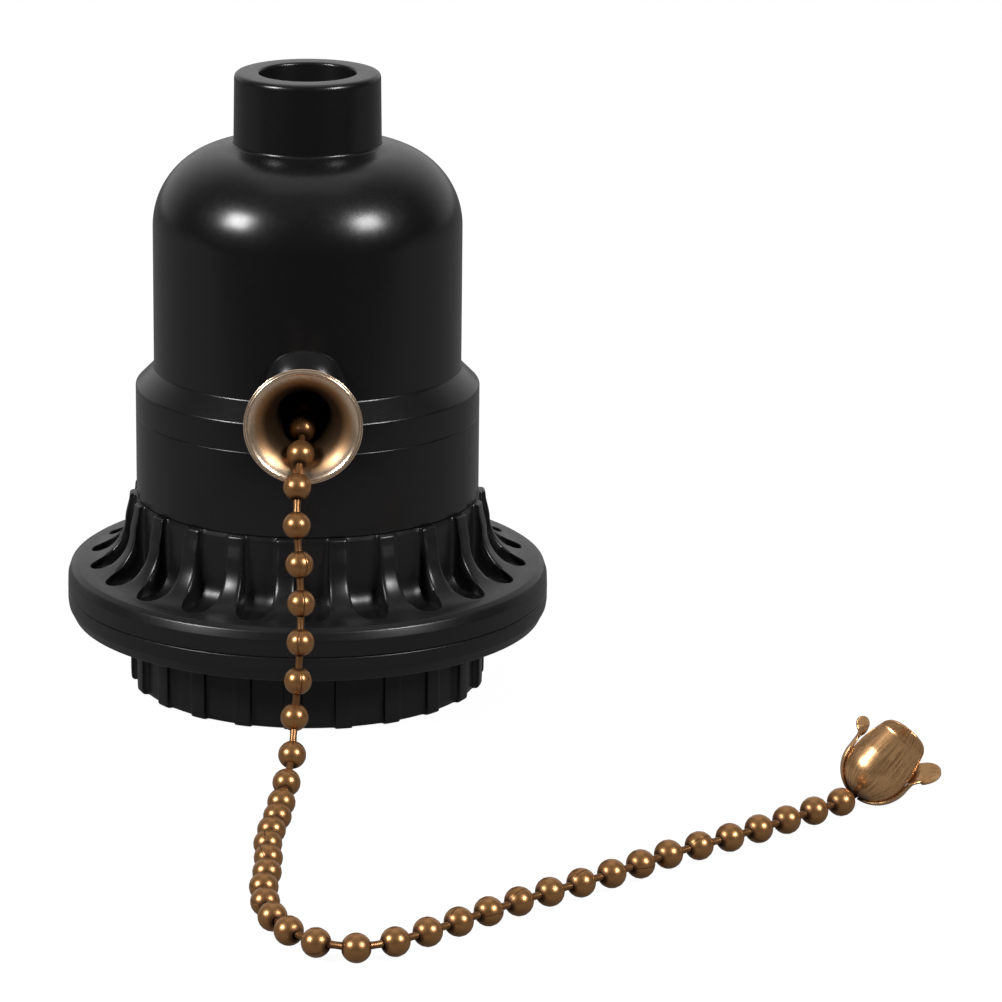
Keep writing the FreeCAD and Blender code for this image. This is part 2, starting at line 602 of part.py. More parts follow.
def make_frame_screws():
    """Screws from the frame's base into the contact block."""
    shank = FRAME_BASE_T + FRAME_SCREW_DEPTH
    screw = facetted([(FRAME_SCREW_R, -shank), (FRAME_SCREW_R, 0), (FRAME_SCREW_HEAD_R, 0),
                      (FRAME_SCREW_HEAD_R, FRAME_SCREW_HEAD_T)], RIVET_SIDES)
    up = V(0, 0, 1)
    return Part.makeCompound([placed(screw, V(x, y, FRAME_TOP_Z), up) for x, y in FRAME_SCREWS])


def leaf(x_range, y, side, foot):
    """A strip standing on the frame's base, with its foot bent to one side."""
    top = SHAFT_Z + BLADE_T
    edge = y + side * BLADE_T
    end = y + foot
    side_view = [(y, FRAME_TOP_Z), (y, top), (edge, top), (edge, FRAME_TOP_Z + BLADE_T),
                 (end, FRAME_TOP_Z + BLADE_T), (end, FRAME_TOP_Z)]
    face = polygon_face(side_view, lambda p: V(x_range[0], p[0], p[1]))
    return face.extrude(V(x_range[1] - x_range[0], 0, 0))


def make_contact_blades():
    """Two brass blades that the rotor's drum joins and parts."""
    start_x = ROTOR_X + WHEEL_W + SIDE_GAP
    reach = ROTOR_R - ROTOR_TOOTH + BLADE_GAP
    width = (start_x, ROTOR_X + ROTOR_W - SIDE_GAP)
    rear = leaf(width, SHAFT_Y + reach, 1, BLADE_FOOT)
    front = leaf(width, SHAFT_Y - reach - BLADE_T, 1, BLADE_FOOT / 2)
    return Part.makeCompound([rear, front])


def make_detent_spring():
    """Steel strip that lies against the ratchet wheel."""
    width = (ROTOR_X, ROTOR_X + WHEEL_W - SIDE_GAP / 2)
    return leaf(width, SHAFT_Y + ROTOR_R + BLADE_GAP, 1, BLADE_FOOT)


def make_switch_shaft():
    half = CHEEK_X + CHEEK_T + 0.5
    return cylinder(SHAFT_R, 2 * half, V(-half, SHAFT_Y, SHAFT_Z), V(1, 0, 0))


def swung(shape):
    """Turn a lever drawn hanging straight down to its rest angle."""
    shape.rotate(V(0, SHAFT_Y, SHAFT_Z), V(1, 0, 0), LEVER_SWING)
    return shape


def make_pull_lever():
    """Sheet steel lever with a rolled eye on the shaft and a fork for the chain."""
    half = LEVER_W / 2
    low = SHAFT_Z - LEVER_ARM - LEVER_TIP
    blade = box((-half, SHAFT_Y - LEVER_T / 2, low), (half, SHAFT_Y + LEVER_T / 2, SHAFT_Z))
    hub = cylinder(LEVER_HUB_R, LEVER_W, V(-half, SHAFT_Y, SHAFT_Z), V(1, 0, 0))
    slot = box((-LEVER_SLOT / 2, SHAFT_Y - 1, low - 1),
               (LEVER_SLOT / 2, SHAFT_Y + 1, SHAFT_Z - LEVER_ARM + LEVER_SLOT))
    return swung(blade.fuse(hub).cut(slot).cut(hole_on_shaft(SHAFT_R + SHAFT_FIT)))


def make_switch_rotor():
    """Ratchet wheel and octagonal contact drum in one moulding."""
    teeth = []
    for k in range(ROTOR_TEETH):
        angle = 360.0 / ROTOR_TEETH * k
        teeth.append(on_arc((SHAFT_Y, SHAFT_Z), ROTOR_R, angle))
        teeth.append(on_arc((SHAFT_Y, SHAFT_Z), ROTOR_R - ROTOR_TOOTH, angle + ROTOR_RAKE))
    wheel = polygon_face(teeth, lambda p: V(ROTOR_X, p[0], p[1])).extrude(V(WHEEL_W, 0, 0))
    corners = bend((SHAFT_Y, SHAFT_Z), ROTOR_R - ROTOR_TOOTH, 22.5, 337.5, 7)
    drum = polygon_face(corners, lambda p: V(ROTOR_X, p[0], p[1])).extrude(V(ROTOR_W, 0, 0))
    return wheel.fuse(drum).cut(hole_on_shaft(SHAFT_R + SHAFT_FIT))


def make_drive_pawl():
    """Sprung finger on the lever that turns the ratchet wheel."""
    tip = SHAFT_Z - ROTOR_R - BLADE_GAP
    low = tip - PAWL_L
    finger = [(-LEVER_T / 2, low), (LEVER_T / 2, low), (LEVER_T / 2, tip - LEVER_T), (0, tip),
              (-LEVER_T / 2, tip)]
    face = polygon_face(finger, lambda p: V(LEVER_W / 2, SHAFT_Y + p[0], p[1]))
    return swung(face.extrude(V(WHEEL_W, 0, 0)))


def make_return_spring():
    """Torsion spring on the shaft with a leg down the lever."""
    radius = LEVER_HUB_R - 0.3
    half = SPRING_WIRE / 2
    start_x = -LEVER_W / 2 - SIDE_GAP
    pitch = SPRING_WIRE * 1.35
    helix = Part.makeHelix(pitch, pitch * SPRING_TURNS, radius)
    corners = [(radius - half, -half), (radius + half, -half), (radius + half, half),
               (radius - half, half), (radius - half, -half)]
    section = Part.makePolygon([V(x, 0, z) for x, z in corners])
    coil = Part.Wire(helix).makePipeShell([section], True, True)
    coil.rotate(V(0, 0, 0), V(0, 1, 0), -90)
    coil.translate(V(start_x - half, SHAFT_Y, SHAFT_Z))
    return coil


def make_terminal(side):
    """Brass plate that a wire is clamped on."""
    x = side * TERMINAL_X
    half = TERMINAL_W / 2
    plate = box((x - half, TERMINAL_Y - TERMINAL_L / 2, BLOCK_TOP_Z),
                (x + half, TERMINAL_Y + TERMINAL_L / 2, BLOCK_TOP_Z + TERMINAL_T))
    return plate.cut(cylinder(SCREW_R + FIT, TERMINAL_T, V(x, TERMINAL_Y, BLOCK_TOP_Z)))


def make_terminal_plates():
    return Part.makeCompound([make_terminal(side) for side in (-1, 1)])


def make_terminal_screws():
    """Slotted screws through the terminal plates into the block."""
    screws = []
    for side in (-1, 1):
        x = side * TERMINAL_X
        seat = BLOCK_TOP_Z + TERMINAL_T
        shank = cylinder(SCREW_R, TERMINAL_T + SCREW_GRIP, V(x, TERMINAL_Y, seat), V(0, 0, -1))
        head = cylinder(SCREW_HEAD_R, SCREW_HEAD_T, V(x, TERMINAL_Y, seat))
        top = seat + SCREW_HEAD_T
        reach = SCREW_HEAD_R + SCREW_SLOT
        slot = box((x - reach, TERMINAL_Y - SCREW_SLOT / 2, top - SCREW_HEAD_T / 2),
                   (x + reach, TERMINAL_Y + SCREW_SLOT / 2, top + SCREW_SLOT))
        screws.append(shank.fuse(head).cut(slot))
    return Part.makeCompound(screws)


def main():
    os.makedirs("parts", exist_ok=True)
    centres = bead_centres()
    pieces = {
        "cap": make_cap(),
        "barrel": make_barrel(),
        "upper_shade_ring": make_upper_ring(),
        "lower_shade_ring": make_lower_ring(),
        "screw_shell": make_screw_shell(),
        "contact_block": make_contact_block(),
        "shell_rivets": make_shell_rivets(),
        "centre_contact": make_centre_contact(),
        "contact_rivet": make_tongue_rivet(),
        "bell_guide": make_bell_guide(),
        "guide_nut": make_guide_nut(),
        "chain_beads": make_chain_beads(centres),
        "chain_links": make_chain_links(centres),
        "tulip_pull": make_tulip(tulip_centre(centres[-1])),
        "switch_frame": make_switch_frame(),
        "frame_screws": make_frame_screws(),
        "switch_shaft": make_switch_shaft(),
        "pull_lever": make_pull_lever(),
        "switch_rotor": make_switch_rotor(),
        "drive_pawl": make_drive_pawl(),
        "contact_blades": make_contact_blades(),
        "detent_spring": make_detent_spring(),
        "return_spring": make_return_spring(),
        "terminal_plates": make_terminal_plates(),
        "terminal_screws": make_terminal_screws(),
    }
    for name, shape in pieces.items():
        save(name, shape)


main()
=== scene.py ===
# %% [markdown]
# A lamp holder with a pull chain: a black moulded housing, two fluted rings that would
# clamp a lamp shade, a small brass trumpet, and a ball chain that ends in a tulip.
# The mechanical model comes in first and stays fixed. Each visible piece is then laid
# over it as a finer surface, in metres, in the same frame.

# %% Load the fixed frame
import json
import math

import bmesh
import bpy
import numpy as np
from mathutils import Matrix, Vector


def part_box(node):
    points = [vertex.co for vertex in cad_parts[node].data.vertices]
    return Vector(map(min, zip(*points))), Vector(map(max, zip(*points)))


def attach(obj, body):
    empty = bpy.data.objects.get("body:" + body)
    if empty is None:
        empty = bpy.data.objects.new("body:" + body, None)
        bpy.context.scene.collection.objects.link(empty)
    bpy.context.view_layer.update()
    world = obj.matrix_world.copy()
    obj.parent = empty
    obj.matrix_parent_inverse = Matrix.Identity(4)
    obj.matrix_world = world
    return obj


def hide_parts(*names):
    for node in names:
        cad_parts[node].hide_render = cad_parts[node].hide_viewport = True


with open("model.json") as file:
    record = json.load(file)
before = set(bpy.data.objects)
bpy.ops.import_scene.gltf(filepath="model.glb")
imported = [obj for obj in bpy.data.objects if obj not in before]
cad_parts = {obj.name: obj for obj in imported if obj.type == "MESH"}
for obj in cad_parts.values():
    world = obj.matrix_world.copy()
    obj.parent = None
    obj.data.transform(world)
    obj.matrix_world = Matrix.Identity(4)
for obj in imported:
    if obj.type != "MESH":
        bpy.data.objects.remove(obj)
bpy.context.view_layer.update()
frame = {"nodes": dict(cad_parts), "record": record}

MM = 0.001

# %% [markdown]
# The main places are read from the frame, so a changed model carries the surfaces
# along. They are turned into millimetres, the unit of such a small product's drawing.

# %% Places read from the frame
cap_low, cap_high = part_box("cap")
ring_low, ring_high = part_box("upper_shade_ring")
bell_low, bell_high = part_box("bell_guide")
SEAM_Z = cap_low[2] / MM
NECK_TOP = cap_high[2] / MM
COLLAR_R = cap_high[0] / MM
FLANGE_R = ring_high[0] / MM
FLANGE_Z = ring_low[2] / MM
SHOULDER_Z = ring_high[2] / MM
MOUTH = -bell_low[1] / MM
GUIDE_Z = (bell_low[2] + bell_high[2]) / 2 / MM
print("seam", round(SEAM_Z, 2), "neck", round(NECK_TOP, 2), "guide", round(GUIDE_Z, 2))

# %% [markdown]
# The camera stands a little above the holder and has a long lens, so upright lines
# stay nearly upright, and near and far rims look almost alike.

# %% Camera
VIEW_DISTANCE = 0.560
VIEW_HEIGHT = 0.1844
VIEW_TURN = math.radians(0.9)
VIEW_PITCH = math.radians(16.18)
camera_data = bpy.data.cameras.new("studio_camera")
camera_data.lens = 173.6
camera_data.sensor_width = 36.0
camera_data.shift_x = 0.193
camera = bpy.data.objects.new("studio_camera", camera_data)
camera.location = (VIEW_DISTANCE * math.sin(VIEW_TURN),
                   -VIEW_DISTANCE * math.cos(VIEW_TURN), VIEW_HEIGHT)
camera.rotation_euler = (math.pi / 2 - VIEW_PITCH, 0.0, VIEW_TURN)
bpy.context.scene.collection.objects.link(camera)
bpy.context.scene.camera = camera
bpy.context.scene.view_settings.view_transform = "Standard"
print("camera lens", camera_data.lens, "height", VIEW_HEIGHT, "distance", VIEW_DISTANCE)

# %% [markdown]
# Finishes that repeat are worth building once. Every moulded or plated surface has a
# faint mottle, so one node group mixes a fine and a coarse noise, and each material
# gives it its own grain size and strength.

# %% Node group: mottle
def new_group(name, inputs, outputs):
    """An empty shader group with float inputs (name, default) and named outputs."""
    group = bpy.data.node_groups.new(name, "ShaderNodeTree")
    for label, value in inputs:
        socket = group.interface.new_socket(label, in_out="INPUT", socket_type="NodeSocketFloat")
        socket.default_value = value
    for label, kind in outputs:
        group.interface.new_socket(label, in_out="OUTPUT", socket_type=kind)
    return group, group.nodes.new("NodeGroupInput"), group.nodes.new("NodeGroupOutput")


def noise_node(tree, vector, scale, detail, rough=0.55):
    node = tree.nodes.new("ShaderNodeTexNoise")
    node.inputs["Detail"].default_value = detail
    node.inputs["Roughness"].default_value = rough
    tree.links.new(vector, node.inputs["Vector"])
    if hasattr(scale, "is_output"):
        tree.links.new(scale, node.inputs["Scale"])
    else:
        node.inputs["Scale"].default_value = scale
    return node.outputs["Fac"]


def math_node(tree, operation, first, second=None, third=None):
    node = tree.nodes.new("ShaderNodeMath")
    node.operation = operation
    for socket, value in zip(node.inputs, (first, second, third)):
        if value is None:
            continue
        if hasattr(value, "is_output"):
            tree.links.new(value, socket)
        else:
            socket.default_value = value
    return node.outputs[0]


mottle, mottle_in, mottle_out = new_group(
    "mottle", [("Grain", 900.0), ("Cloud", 90.0), ("Strength", 0.5)],
    [("Value", "NodeSocketFloat"), ("Height", "NodeSocketFloat")])
place = mottle.nodes.new("ShaderNodeTexCoord").outputs["Object"]
fine = noise_node(mottle, place, mottle_in.outputs["Grain"], 3.0)
cloud = noise_node(mottle, place, mottle_in.outputs["Cloud"], 5.0)
both = math_node(mottle, "MULTIPLY_ADD", fine, 0.45, math_node(mottle, "MULTIPLY", cloud, 0.55))
centred = math_node(mottle, "SUBTRACT", both, 0.5)
scaled = math_node(mottle, "MULTIPLY", centred, mottle_in.outputs["Strength"])
mottle.links.new(scaled, mottle_out.inputs["Value"])
mottle.links.new(fine, mottle_out.inputs["Height"])

# %% [markdown]
# Handled metal and moulded plastic also carry hairline rubs. Noise that is stretched
# in one direction gives them: narrow across, long along. The group takes the number of
# lines across and along, and puts out a value that a material can use for its colour
# or its roughness.

# %% Node group: streaks
streaks, streaks_in, streaks_out = new_group(
    "streaks", [("Across", 1500.0), ("Along", 60.0), ("Strength", 0.5)],
    [("Value", "NodeSocketFloat")])
split = streaks.nodes.new("ShaderNodeSeparateXYZ")
streaks.links.new(streaks.nodes.new("ShaderNodeTexCoord").outputs["UV"], split.inputs[0])
join = streaks.nodes.new("ShaderNodeCombineXYZ")
streaks.links.new(math_node(streaks, "MULTIPLY", split.outputs[0], streaks_in.outputs["Across"]),
                  join.inputs[0])
streaks.links.new(math_node(streaks, "MULTIPLY", split.outputs[1], streaks_in.outputs["Along"]),
                  join.inputs[1])
lines = noise_node(streaks, join.outputs[0], 1.0, 3.0, 0.6)
streaks.links.new(math_node(streaks, "MULTIPLY", math_node(streaks, "SUBTRACT", lines, 0.5),
                            streaks_in.outputs["Strength"]), streaks_out.inputs["Value"])

# %% [markdown]
# Dust settles where a surface looks up. The group compares the surface's direction
# with the sky, breaks the answer up with noise, and leaves a soft mask.

# %% Node group: dust
dust, dust_in, dust_out = new_group("dust", [("Amount", 0.2), ("Spots", 400.0)],
                                    [("Mask", "NodeSocketFloat")])
facing = dust.nodes.new("ShaderNodeSeparateXYZ")
dust.links.new(dust.nodes.new("ShaderNodeNewGeometry").outputs["Normal"], facing.inputs[0])
upward = math_node(dust, "POWER", math_node(dust, "MAXIMUM", facing.outputs[2], 0.0), 2.0)
spots = noise_node(dust, dust.nodes.new("ShaderNodeTexCoord").outputs["Object"],
                   dust_in.outputs["Spots"], 6.0, 0.7)
dust.links.new(math_node(dust, "MULTIPLY", math_node(dust, "MULTIPLY", upward, spots),
                         dust_in.outputs["Amount"]), dust_out.inputs["Mask"])
print("node groups:", [group.name for group in bpy.data.node_groups])

# %% [markdown]
# A material here is one Principled shader with a colour, a roughness and a bump that
# vary over the surface. The helpers keep each recipe to a few lines.

# %% Material helpers
GRAIN_HEIGHT = 0.00001


def new_material(name, metallic, roughness):
    """A material with its tree, and its shader's plain numbers set on the sockets."""
    material = bpy.data.materials.new(name)
    material.use_nodes = True
    shader = material.node_tree.nodes["Principled BSDF"]
    shader.inputs["Metallic"].default_value = metallic
    shader.inputs["Roughness"].default_value = roughness
    return material, material.node_tree, shader


def use_group(tree, group, **values):
    node = tree.nodes.new("ShaderNodeGroup")
    node.node_tree = group
    for label, value in values.items():
        node.inputs[label].default_value = value
    return node.outputs


def blend(tree, factor, first, second):
    """Mix two colours by a factor that varies over the surface."""
    node = tree.nodes.new("ShaderNodeMix")
    node.data_type = "RGBA"
    sockets = (node.inputs[0], node.inputs[6], node.inputs[7])
    for socket, value in zip(sockets, (factor, first, second)):
        if hasattr(value, "is_output"):
            tree.links.new(value, socket)
        elif isinstance(value, tuple):
            socket.default_value = (*value, 1.0)
        else:
            socket.default_value = value
    return node.outputs[2]


def vary(tree, socket, base, *changes):
    """Feed a socket with a base number plus values that vary over the surface."""
    total = base
    for change in changes:
        total = math_node(tree, "ADD", change, total)
    tree.links.new(total, socket)


def bump(tree, shader, height, strength):
    node = tree.nodes.new("ShaderNodeBump")
    node.inputs["Distance"].default_value = GRAIN_HEIGHT
    node.inputs["Strength"].default_value = strength
    tree.links.new(height, node.inputs["Height"])
    tree.links.new(node.outputs[0], shader.inputs["Normal"])


def attribute(tree, name):
    node = tree.nodes.new("ShaderNodeAttribute")
    node.attribute_name = name
    return node.outputs["Fac"]


# %% [markdown]
# The housing is black phenolic. It isn't painted: the moulding itself is near black,
# smooth where the steel mould was polished and a little duller where it wasn't. A
# faint orange-peel bump breaks up the lamps' reflections.

# %% Material: black phenolic
def phenolic(name, colour, roughness, dust_amount):
    material, tree, shader = new_material(name, 0.0, roughness)
    shader.inputs["Specular IOR Level"].default_value = 0.4
    grain = use_group(tree, mottle, Grain=1400.0, Cloud=110.0, Strength=0.16)
    film = use_group(tree, dust, Amount=dust_amount, Spots=700.0)
    worn = tuple(part * 2.2 + 0.02 for part in colour)
    tree.links.new(blend(tree, film["Mask"], colour, worn), shader.inputs["Base Color"])
    vary(tree, shader.inputs["Roughness"], roughness, grain["Value"], film["Mask"])
    bump(tree, shader, grain["Height"], 0.35)
    return material


black_gloss = phenolic("black_phenolic_gloss", (0.0055, 0.0053, 0.0056), 0.25, 0.05)
black_satin = phenolic("black_phenolic_satin", (0.0060, 0.0058, 0.0062), 0.31, 0.08)
brown_phenolic = phenolic("brown_phenolic", (0.09, 0.04, 0.022), 0.45, 0.1)

# %% [markdown]
# The chain is brass that has been darkened and then rubbed: golden brown on the
# bellies of the beads, almost black round their holes and along the rolled seam. Each
# mesh carries a point attribute for that darkening, which the material reads; on the
# trumpet the same attribute carries painted shade in the throat and the groove.

# %% Material: rubbed brass
def rubbed_brass(name, metal, bright, dull, roughness, along=40.0, strength=0.25):
    material, tree, shader = new_material(name, metal, roughness)
    grain = use_group(tree, mottle, Grain=2500.0, Cloud=420.0, Strength=0.9)
    line = use_group(tree, streaks, Across=160.0, Along=along, Strength=strength)
    patina_and_shade = attribute(tree, "patina_and_shade")
    tone = math_node(tree, "ADD", math_node(tree, "ADD", grain["Value"], line["Value"]),
                     math_node(tree, "ADD", math_node(tree, "MULTIPLY", patina_and_shade, 1.6), 0.35))
    skin = blend(tree, math_node(tree, "MAXIMUM", math_node(tree, "MINIMUM", tone, 1.0), 0.0),
                 bright, dull)
    # The attribute pulls towards deep: patina round the beads' holes and seams, and painted shade
    # in the trumpet's throat and groove.
    deep = tuple(part * 0.10 for part in dull)
    tree.links.new(blend(tree, patina_and_shade, skin, deep), shader.inputs["Base Color"])
    vary(tree, shader.inputs["Roughness"], roughness,
         math_node(tree, "MULTIPLY", grain["Value"], 0.25),
         math_node(tree, "MULTIPLY", patina_and_shade, 0.3))
    bump(tree, shader, grain["Height"], 0.3)
    return material


chain_brass = rubbed_brass("chain_brass", 0.80, (0.43, 0.215, 0.082), (0.22, 0.098, 0.036), 0.30)
tulip_brass = rubbed_brass("tulip_brass", 0.85, (0.86, 0.50, 0.23), (0.22, 0.10, 0.045), 0.28,
                           along=3.0, strength=4.5)
trumpet_plate = rubbed_brass("trumpet_plate", 0.90, (0.98, 0.80, 0.62), (0.55, 0.32, 0.16), 0.24,
                             along=2.0, strength=0.3)

# %% [markdown]
# Inside the holder there are plain brass contacts and zinc-plated steel. They are seen
# from below and in an open view only, so simple recipes do, with streaks from the
# press tools.

# %% Materials: plain brass and steel
def plain_metal(name, colour, roughness):
    material, tree, shader = new_material(name, 1.0, roughness)
    grain = use_group(tree, mottle, Grain=1800.0, Cloud=200.0, Strength=0.5)
    darker = tuple(part * 0.62 for part in colour)
    tone = math_node(tree, "ADD", grain["Value"], 0.4)
    tree.links.new(blend(tree, tone, colour, darker), shader.inputs["Base Color"])
    vary(tree, shader.inputs["Roughness"], roughness,
         math_node(tree, "MULTIPLY", grain["Value"], 0.3))
    bump(tree, shader, grain["Height"], 0.25)
    return material


contact_brass = plain_metal("contact_brass", (0.80, 0.56, 0.24), 0.28)
plated_steel = plain_metal("plated_steel", (0.60, 0.60, 0.62), 0.32)
print("materials:", len(bpy.data.materials))

# %% [markdown]
# Nearly every piece is a surface over two parameters: how far round, and how far along
# an outline. The outline is drawn with corners, and each corner is eased by its own
# rounding, as an engraver's drawing would say it.

# %% Outlines and grids
def arc(centre, radius, start, end, steps):
    """Points centre + radius * (cos a, sin a) for a from start to end, in degrees."""
    angle = np.radians(np.linspace(start, end, steps))
    first = centre[0] + radius * np.cos(angle)
    second = centre[1] + radius * np.sin(angle)
    return np.stack([first, second], axis=1)


def eased(corners, steps=7):
    """Replace each corner (a, b, rounding) by a curve tangent to both of its sides.

    The curve is (1-t)^2 A + 2t(1-t) P + t^2 B, with A and B on the sides of corner P
    at rounding / tan(half the corner's angle) from it.
    """
    points = np.array([corner[:2] for corner in corners], dtype=float)
    out = []
    for index, corner in enumerate(corners):
        rounding = corner[2] if len(corner) > 2 else 0.0
        here = points[index]
        if rounding == 0.0:
            out.append(here[None])
            continue
        before = points[index - 1] - here
        after = points[(index + 1) % len(points)] - here
        before /= np.linalg.norm(before)
        after /= np.linalg.norm(after)
        half = math.acos(max(-1.0, min(1.0, float(before @ after)))) / 2
        reach = rounding / math.tan(half)
        t = np.linspace(0, 1, steps)[:, None]
        start, end = here + before * reach, here + after * reach
        out.append((1 - t) ** 2 * start + 2 * t * (1 - t) * here + t ** 2 * end)
    return np.concatenate(out)


def spin(outline, turns):
    """Grid (turn, row, xyz): x = r cos a, y = r sin a, z = height."""
    angle = np.linspace(0, 2 * np.pi, turns, endpoint=False)[:, None]
    radius, height = outline[:, 0][None], outline[:, 1][None]
    return np.stack([radius * np.cos(angle), radius * np.sin(angle),
                     height + 0 * angle], axis=2)


def spin_on_guide(outline, turns):
    """The same about the trumpet's axis: x = r cos a, z = guide + r sin a, y = -distance."""
    grid = spin(outline, turns)
    return np.stack([grid[..., 0], -grid[..., 2], GUIDE_Z + grid[..., 1]], axis=2)


def grid_faces(columns, rows, closed_columns, closed_rows):
    """Quads between neighbours on the grid, wrapping round where it is closed."""
    index = np.arange(columns * rows).reshape(columns, rows)
    right = np.roll(index, -1, axis=0) if closed_columns else index[1:]
    left = index if closed_columns else index[:-1]
    if closed_rows:
        quads = np.stack([left, right, np.roll(right, -1, 1), np.roll(left, -1, 1)], axis=2)
    else:
        quads = np.stack([left[:, :-1], right[:, :-1], right[:, 1:], left[:, 1:]], axis=2)
    return quads.reshape(-1, 4)


# %% [markdown]
# One function turns grids into a finished piece: it joins doubled points, turns the
# faces outwards, keeps creases sharp, lays a simple map over the grid, hangs the piece
# on its body's empty and hides the solids it stands for.

# %% Make a piece
def make_piece(name, grids, material, body, replaces=(), closed=(True, True),
               crease=38.0, values=None):
    """A mesh object from a list of grids in millimetres; values holds point attributes."""
    vertices, faces, maps, start = [], [], [], 0
    for grid in grids:
        columns, rows = grid.shape[:2]
        vertices.append(grid.reshape(-1, 3) * MM)
        faces.append(grid_faces(columns, rows, *closed) + start)
        u, v = np.meshgrid(np.linspace(0, 1, columns), np.linspace(0, 1, rows), indexing="ij")
        maps.append(np.stack([u, v], axis=2).reshape(-1, 2))
        start += columns * rows
    mesh = bpy.data.meshes.new(name)
    faces = np.concatenate(faces)
    mesh.from_pydata(np.concatenate(vertices), [], faces.tolist())
    layer = mesh.uv_layers.new(name="piece_map")
    layer.data.foreach_set("uv", np.concatenate(maps)[faces.ravel()].ravel())
    if values is not None:
        patina_and_shade = mesh.attributes.new("patina_and_shade", "FLOAT", "POINT")
        patina_and_shade.data.foreach_set("value", np.asarray(values, dtype=np.float32).ravel())
    tidy = bmesh.new()
    tidy.from_mesh(mesh)
    bmesh.ops.remove_doubles(tidy, verts=tidy.verts, dist=1e-7)
    bmesh.ops.recalc_face_normals(tidy, faces=tidy.faces)
    tidy.to_mesh(mesh)
    tidy.free()
    mesh.shade_smooth()
    mesh.set_sharp_from_angle(angle=math.radians(crease))
    mesh.materials.append(material)
    piece = bpy.data.objects.new(name, mesh)
    bpy.context.scene.collection.objects.link(piece)
    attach(piece, body)
    if replaces:
        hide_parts(*replaces)
    print(name, "points", len(mesh.vertices), "faces", len(mesh.polygons))
    return piece


# %% [markdown]
# A screw thread is the same spun surface with its radius swung in and out along a
# helix. The swing depends on height / pitch - angle / full turn, so one turn round
# climbs by one pitch. It fades out at both ends, as a moulded thread does.

# %% Thread on a spun surface
def threaded(grid, low, high, radius, pitch, depth, tolerance=0.3):
    """Push points near a radius by depth * (1 + cos(2 pi (z / pitch - a / 2 pi))) / 2."""
    x, y, z = grid[..., 0], grid[..., 1], grid[..., 2]
    r = np.hypot(x, y)
    angle = np.arctan2(y, x)
    wave = 0.5 + 0.5 * np.cos(2 * np.pi * z / pitch - angle)
    fade = np.clip((z - low) / pitch, 0, 1) * np.clip((high - z) / pitch, 0, 1)
    push = depth * wave * np.sqrt(fade) * (np.abs(r - radius) < tolerance)
    scale = (r + push) / np.maximum(r, 1e-9)
    return np.stack([x * scale, y * scale, z], axis=2)


def column(radius, low, high, rows):
    """A straight stretch of an outline with many rows, for a thread to bend."""
    return np.array([(radius, height) for height in np.linspace(low, high, rows)])


# %% [markdown]
# The cap is one moulding: a collar, a step that sweeps in to the dome, a generously
# rounded shoulder and a short neck for the cable. Its outline runs up the outside and
# back down the inside, so the spun surface is a closed wall.

# %% Cap
TURNS = 144
WALL = 2.3
DOME_R = COLLAR_R - 2.2
SHOULDER_R = 9.6
ENTRY_R = 4.55
ENTRY_TOP = NECK_TOP - 4.2
ENTRY_LOW = NECK_TOP - 11.0
shoulder_centre = (DOME_R - SHOULDER_R, NECK_TOP - 8.8 - SHOULDER_R)
cap_outside = eased([
    (COLLAR_R - 2.1, SEAM_Z), (COLLAR_R, SEAM_Z, 0.06), (COLLAR_R, SEAM_Z + 3.4, 0.4),
    (DOME_R, SEAM_Z + 5.6, 0.4), (DOME_R, shoulder_centre[1])])
shoulder = arc(shoulder_centre, SHOULDER_R, 0, 83, 22)[1:]
neck = eased([
    tuple(shoulder[-1]), (8.78, NECK_TOP - 8.55, 0.45), (8.66, NECK_TOP, 0.7),
    (5.75, NECK_TOP, 0.35), (5.6, NECK_TOP - 3.6, 0.3), (ENTRY_R, NECK_TOP - 4.1, 0.15)])[1:]
cable_thread = column(ENTRY_R, ENTRY_TOP, ENTRY_LOW, 56)
cap_inside = eased([
    (ENTRY_R, NECK_TOP - 11.1), (8.9, NECK_TOP - 11.1), (DOME_R - WALL, SEAM_Z + 22.7, 6.5),
    (DOME_R - WALL, SEAM_Z + 3.1), (COLLAR_R - 2.1, SEAM_Z + 2.7)])
cap_grid = spin(np.concatenate([cap_outside, shoulder, neck, cable_thread, cap_inside]), TURNS)
cap_grid = threaded(cap_grid, ENTRY_LOW, ENTRY_TOP, ENTRY_R, pitch=1.0, depth=0.5)
make_piece("cap_moulding", [cap_grid], black_gloss, "holder", ["cap"])

# %% [markdown]
# Round the trumpet the moulding swells into a boss, rounded like a ball. At each point
# the surface is the housing or the ball, whichever stands further out, and it is eased
# where the two meet. It ends at the hole that the trumpet's tube and the chain use.

# %% Boss for the trumpet
BALL_R = 4.9
BALL_RISE = 0.8
BALL_AT = 16.6
EASING = 1.2
SUNK = 0.25
outer_line = np.concatenate([cap_outside, shoulder])


def housing_front(x, z):
    """Distance in front of the axis at which the housing's wall stands, at x and z."""
    radius = np.interp(z, outer_line[:, 1], outer_line[:, 0], left=COLLAR_R)
    return np.sqrt(np.maximum(radius ** 2 - x ** 2, 0))


around = np.linspace(0, 2 * np.pi, 96, endpoint=False)[:, None]
latitude = np.radians(np.linspace(2, 62, 26))
spread = np.concatenate([[BALL_R + 1.6], BALL_R * np.cos(latitude)])[None]
rise = BALL_RISE * np.clip((spread - spread[0, -1]) / (BALL_R - spread[0, -1]), 0, 1)
ball_x = spread * np.cos(around)
ball_z = GUIDE_Z + rise + spread * np.sin(around)
ball_front = BALL_AT + np.sqrt(np.maximum(BALL_R ** 2 - spread ** 2, 0)) + 0 * ball_x
wall_front = housing_front(ball_x, ball_z)
near = np.clip(1 - np.abs(ball_front - wall_front) / EASING, 0, 1)
ball_front = np.maximum(ball_front, wall_front - SUNK) + 0.25 * EASING * near ** 2
ball_front[:, 0] = wall_front[:, 0] - 0.3
boss_grid = np.stack([ball_x, -ball_front, ball_z], axis=2)
make_piece("guide_boss", [boss_grid], black_gloss, "holder", closed=(True, False))

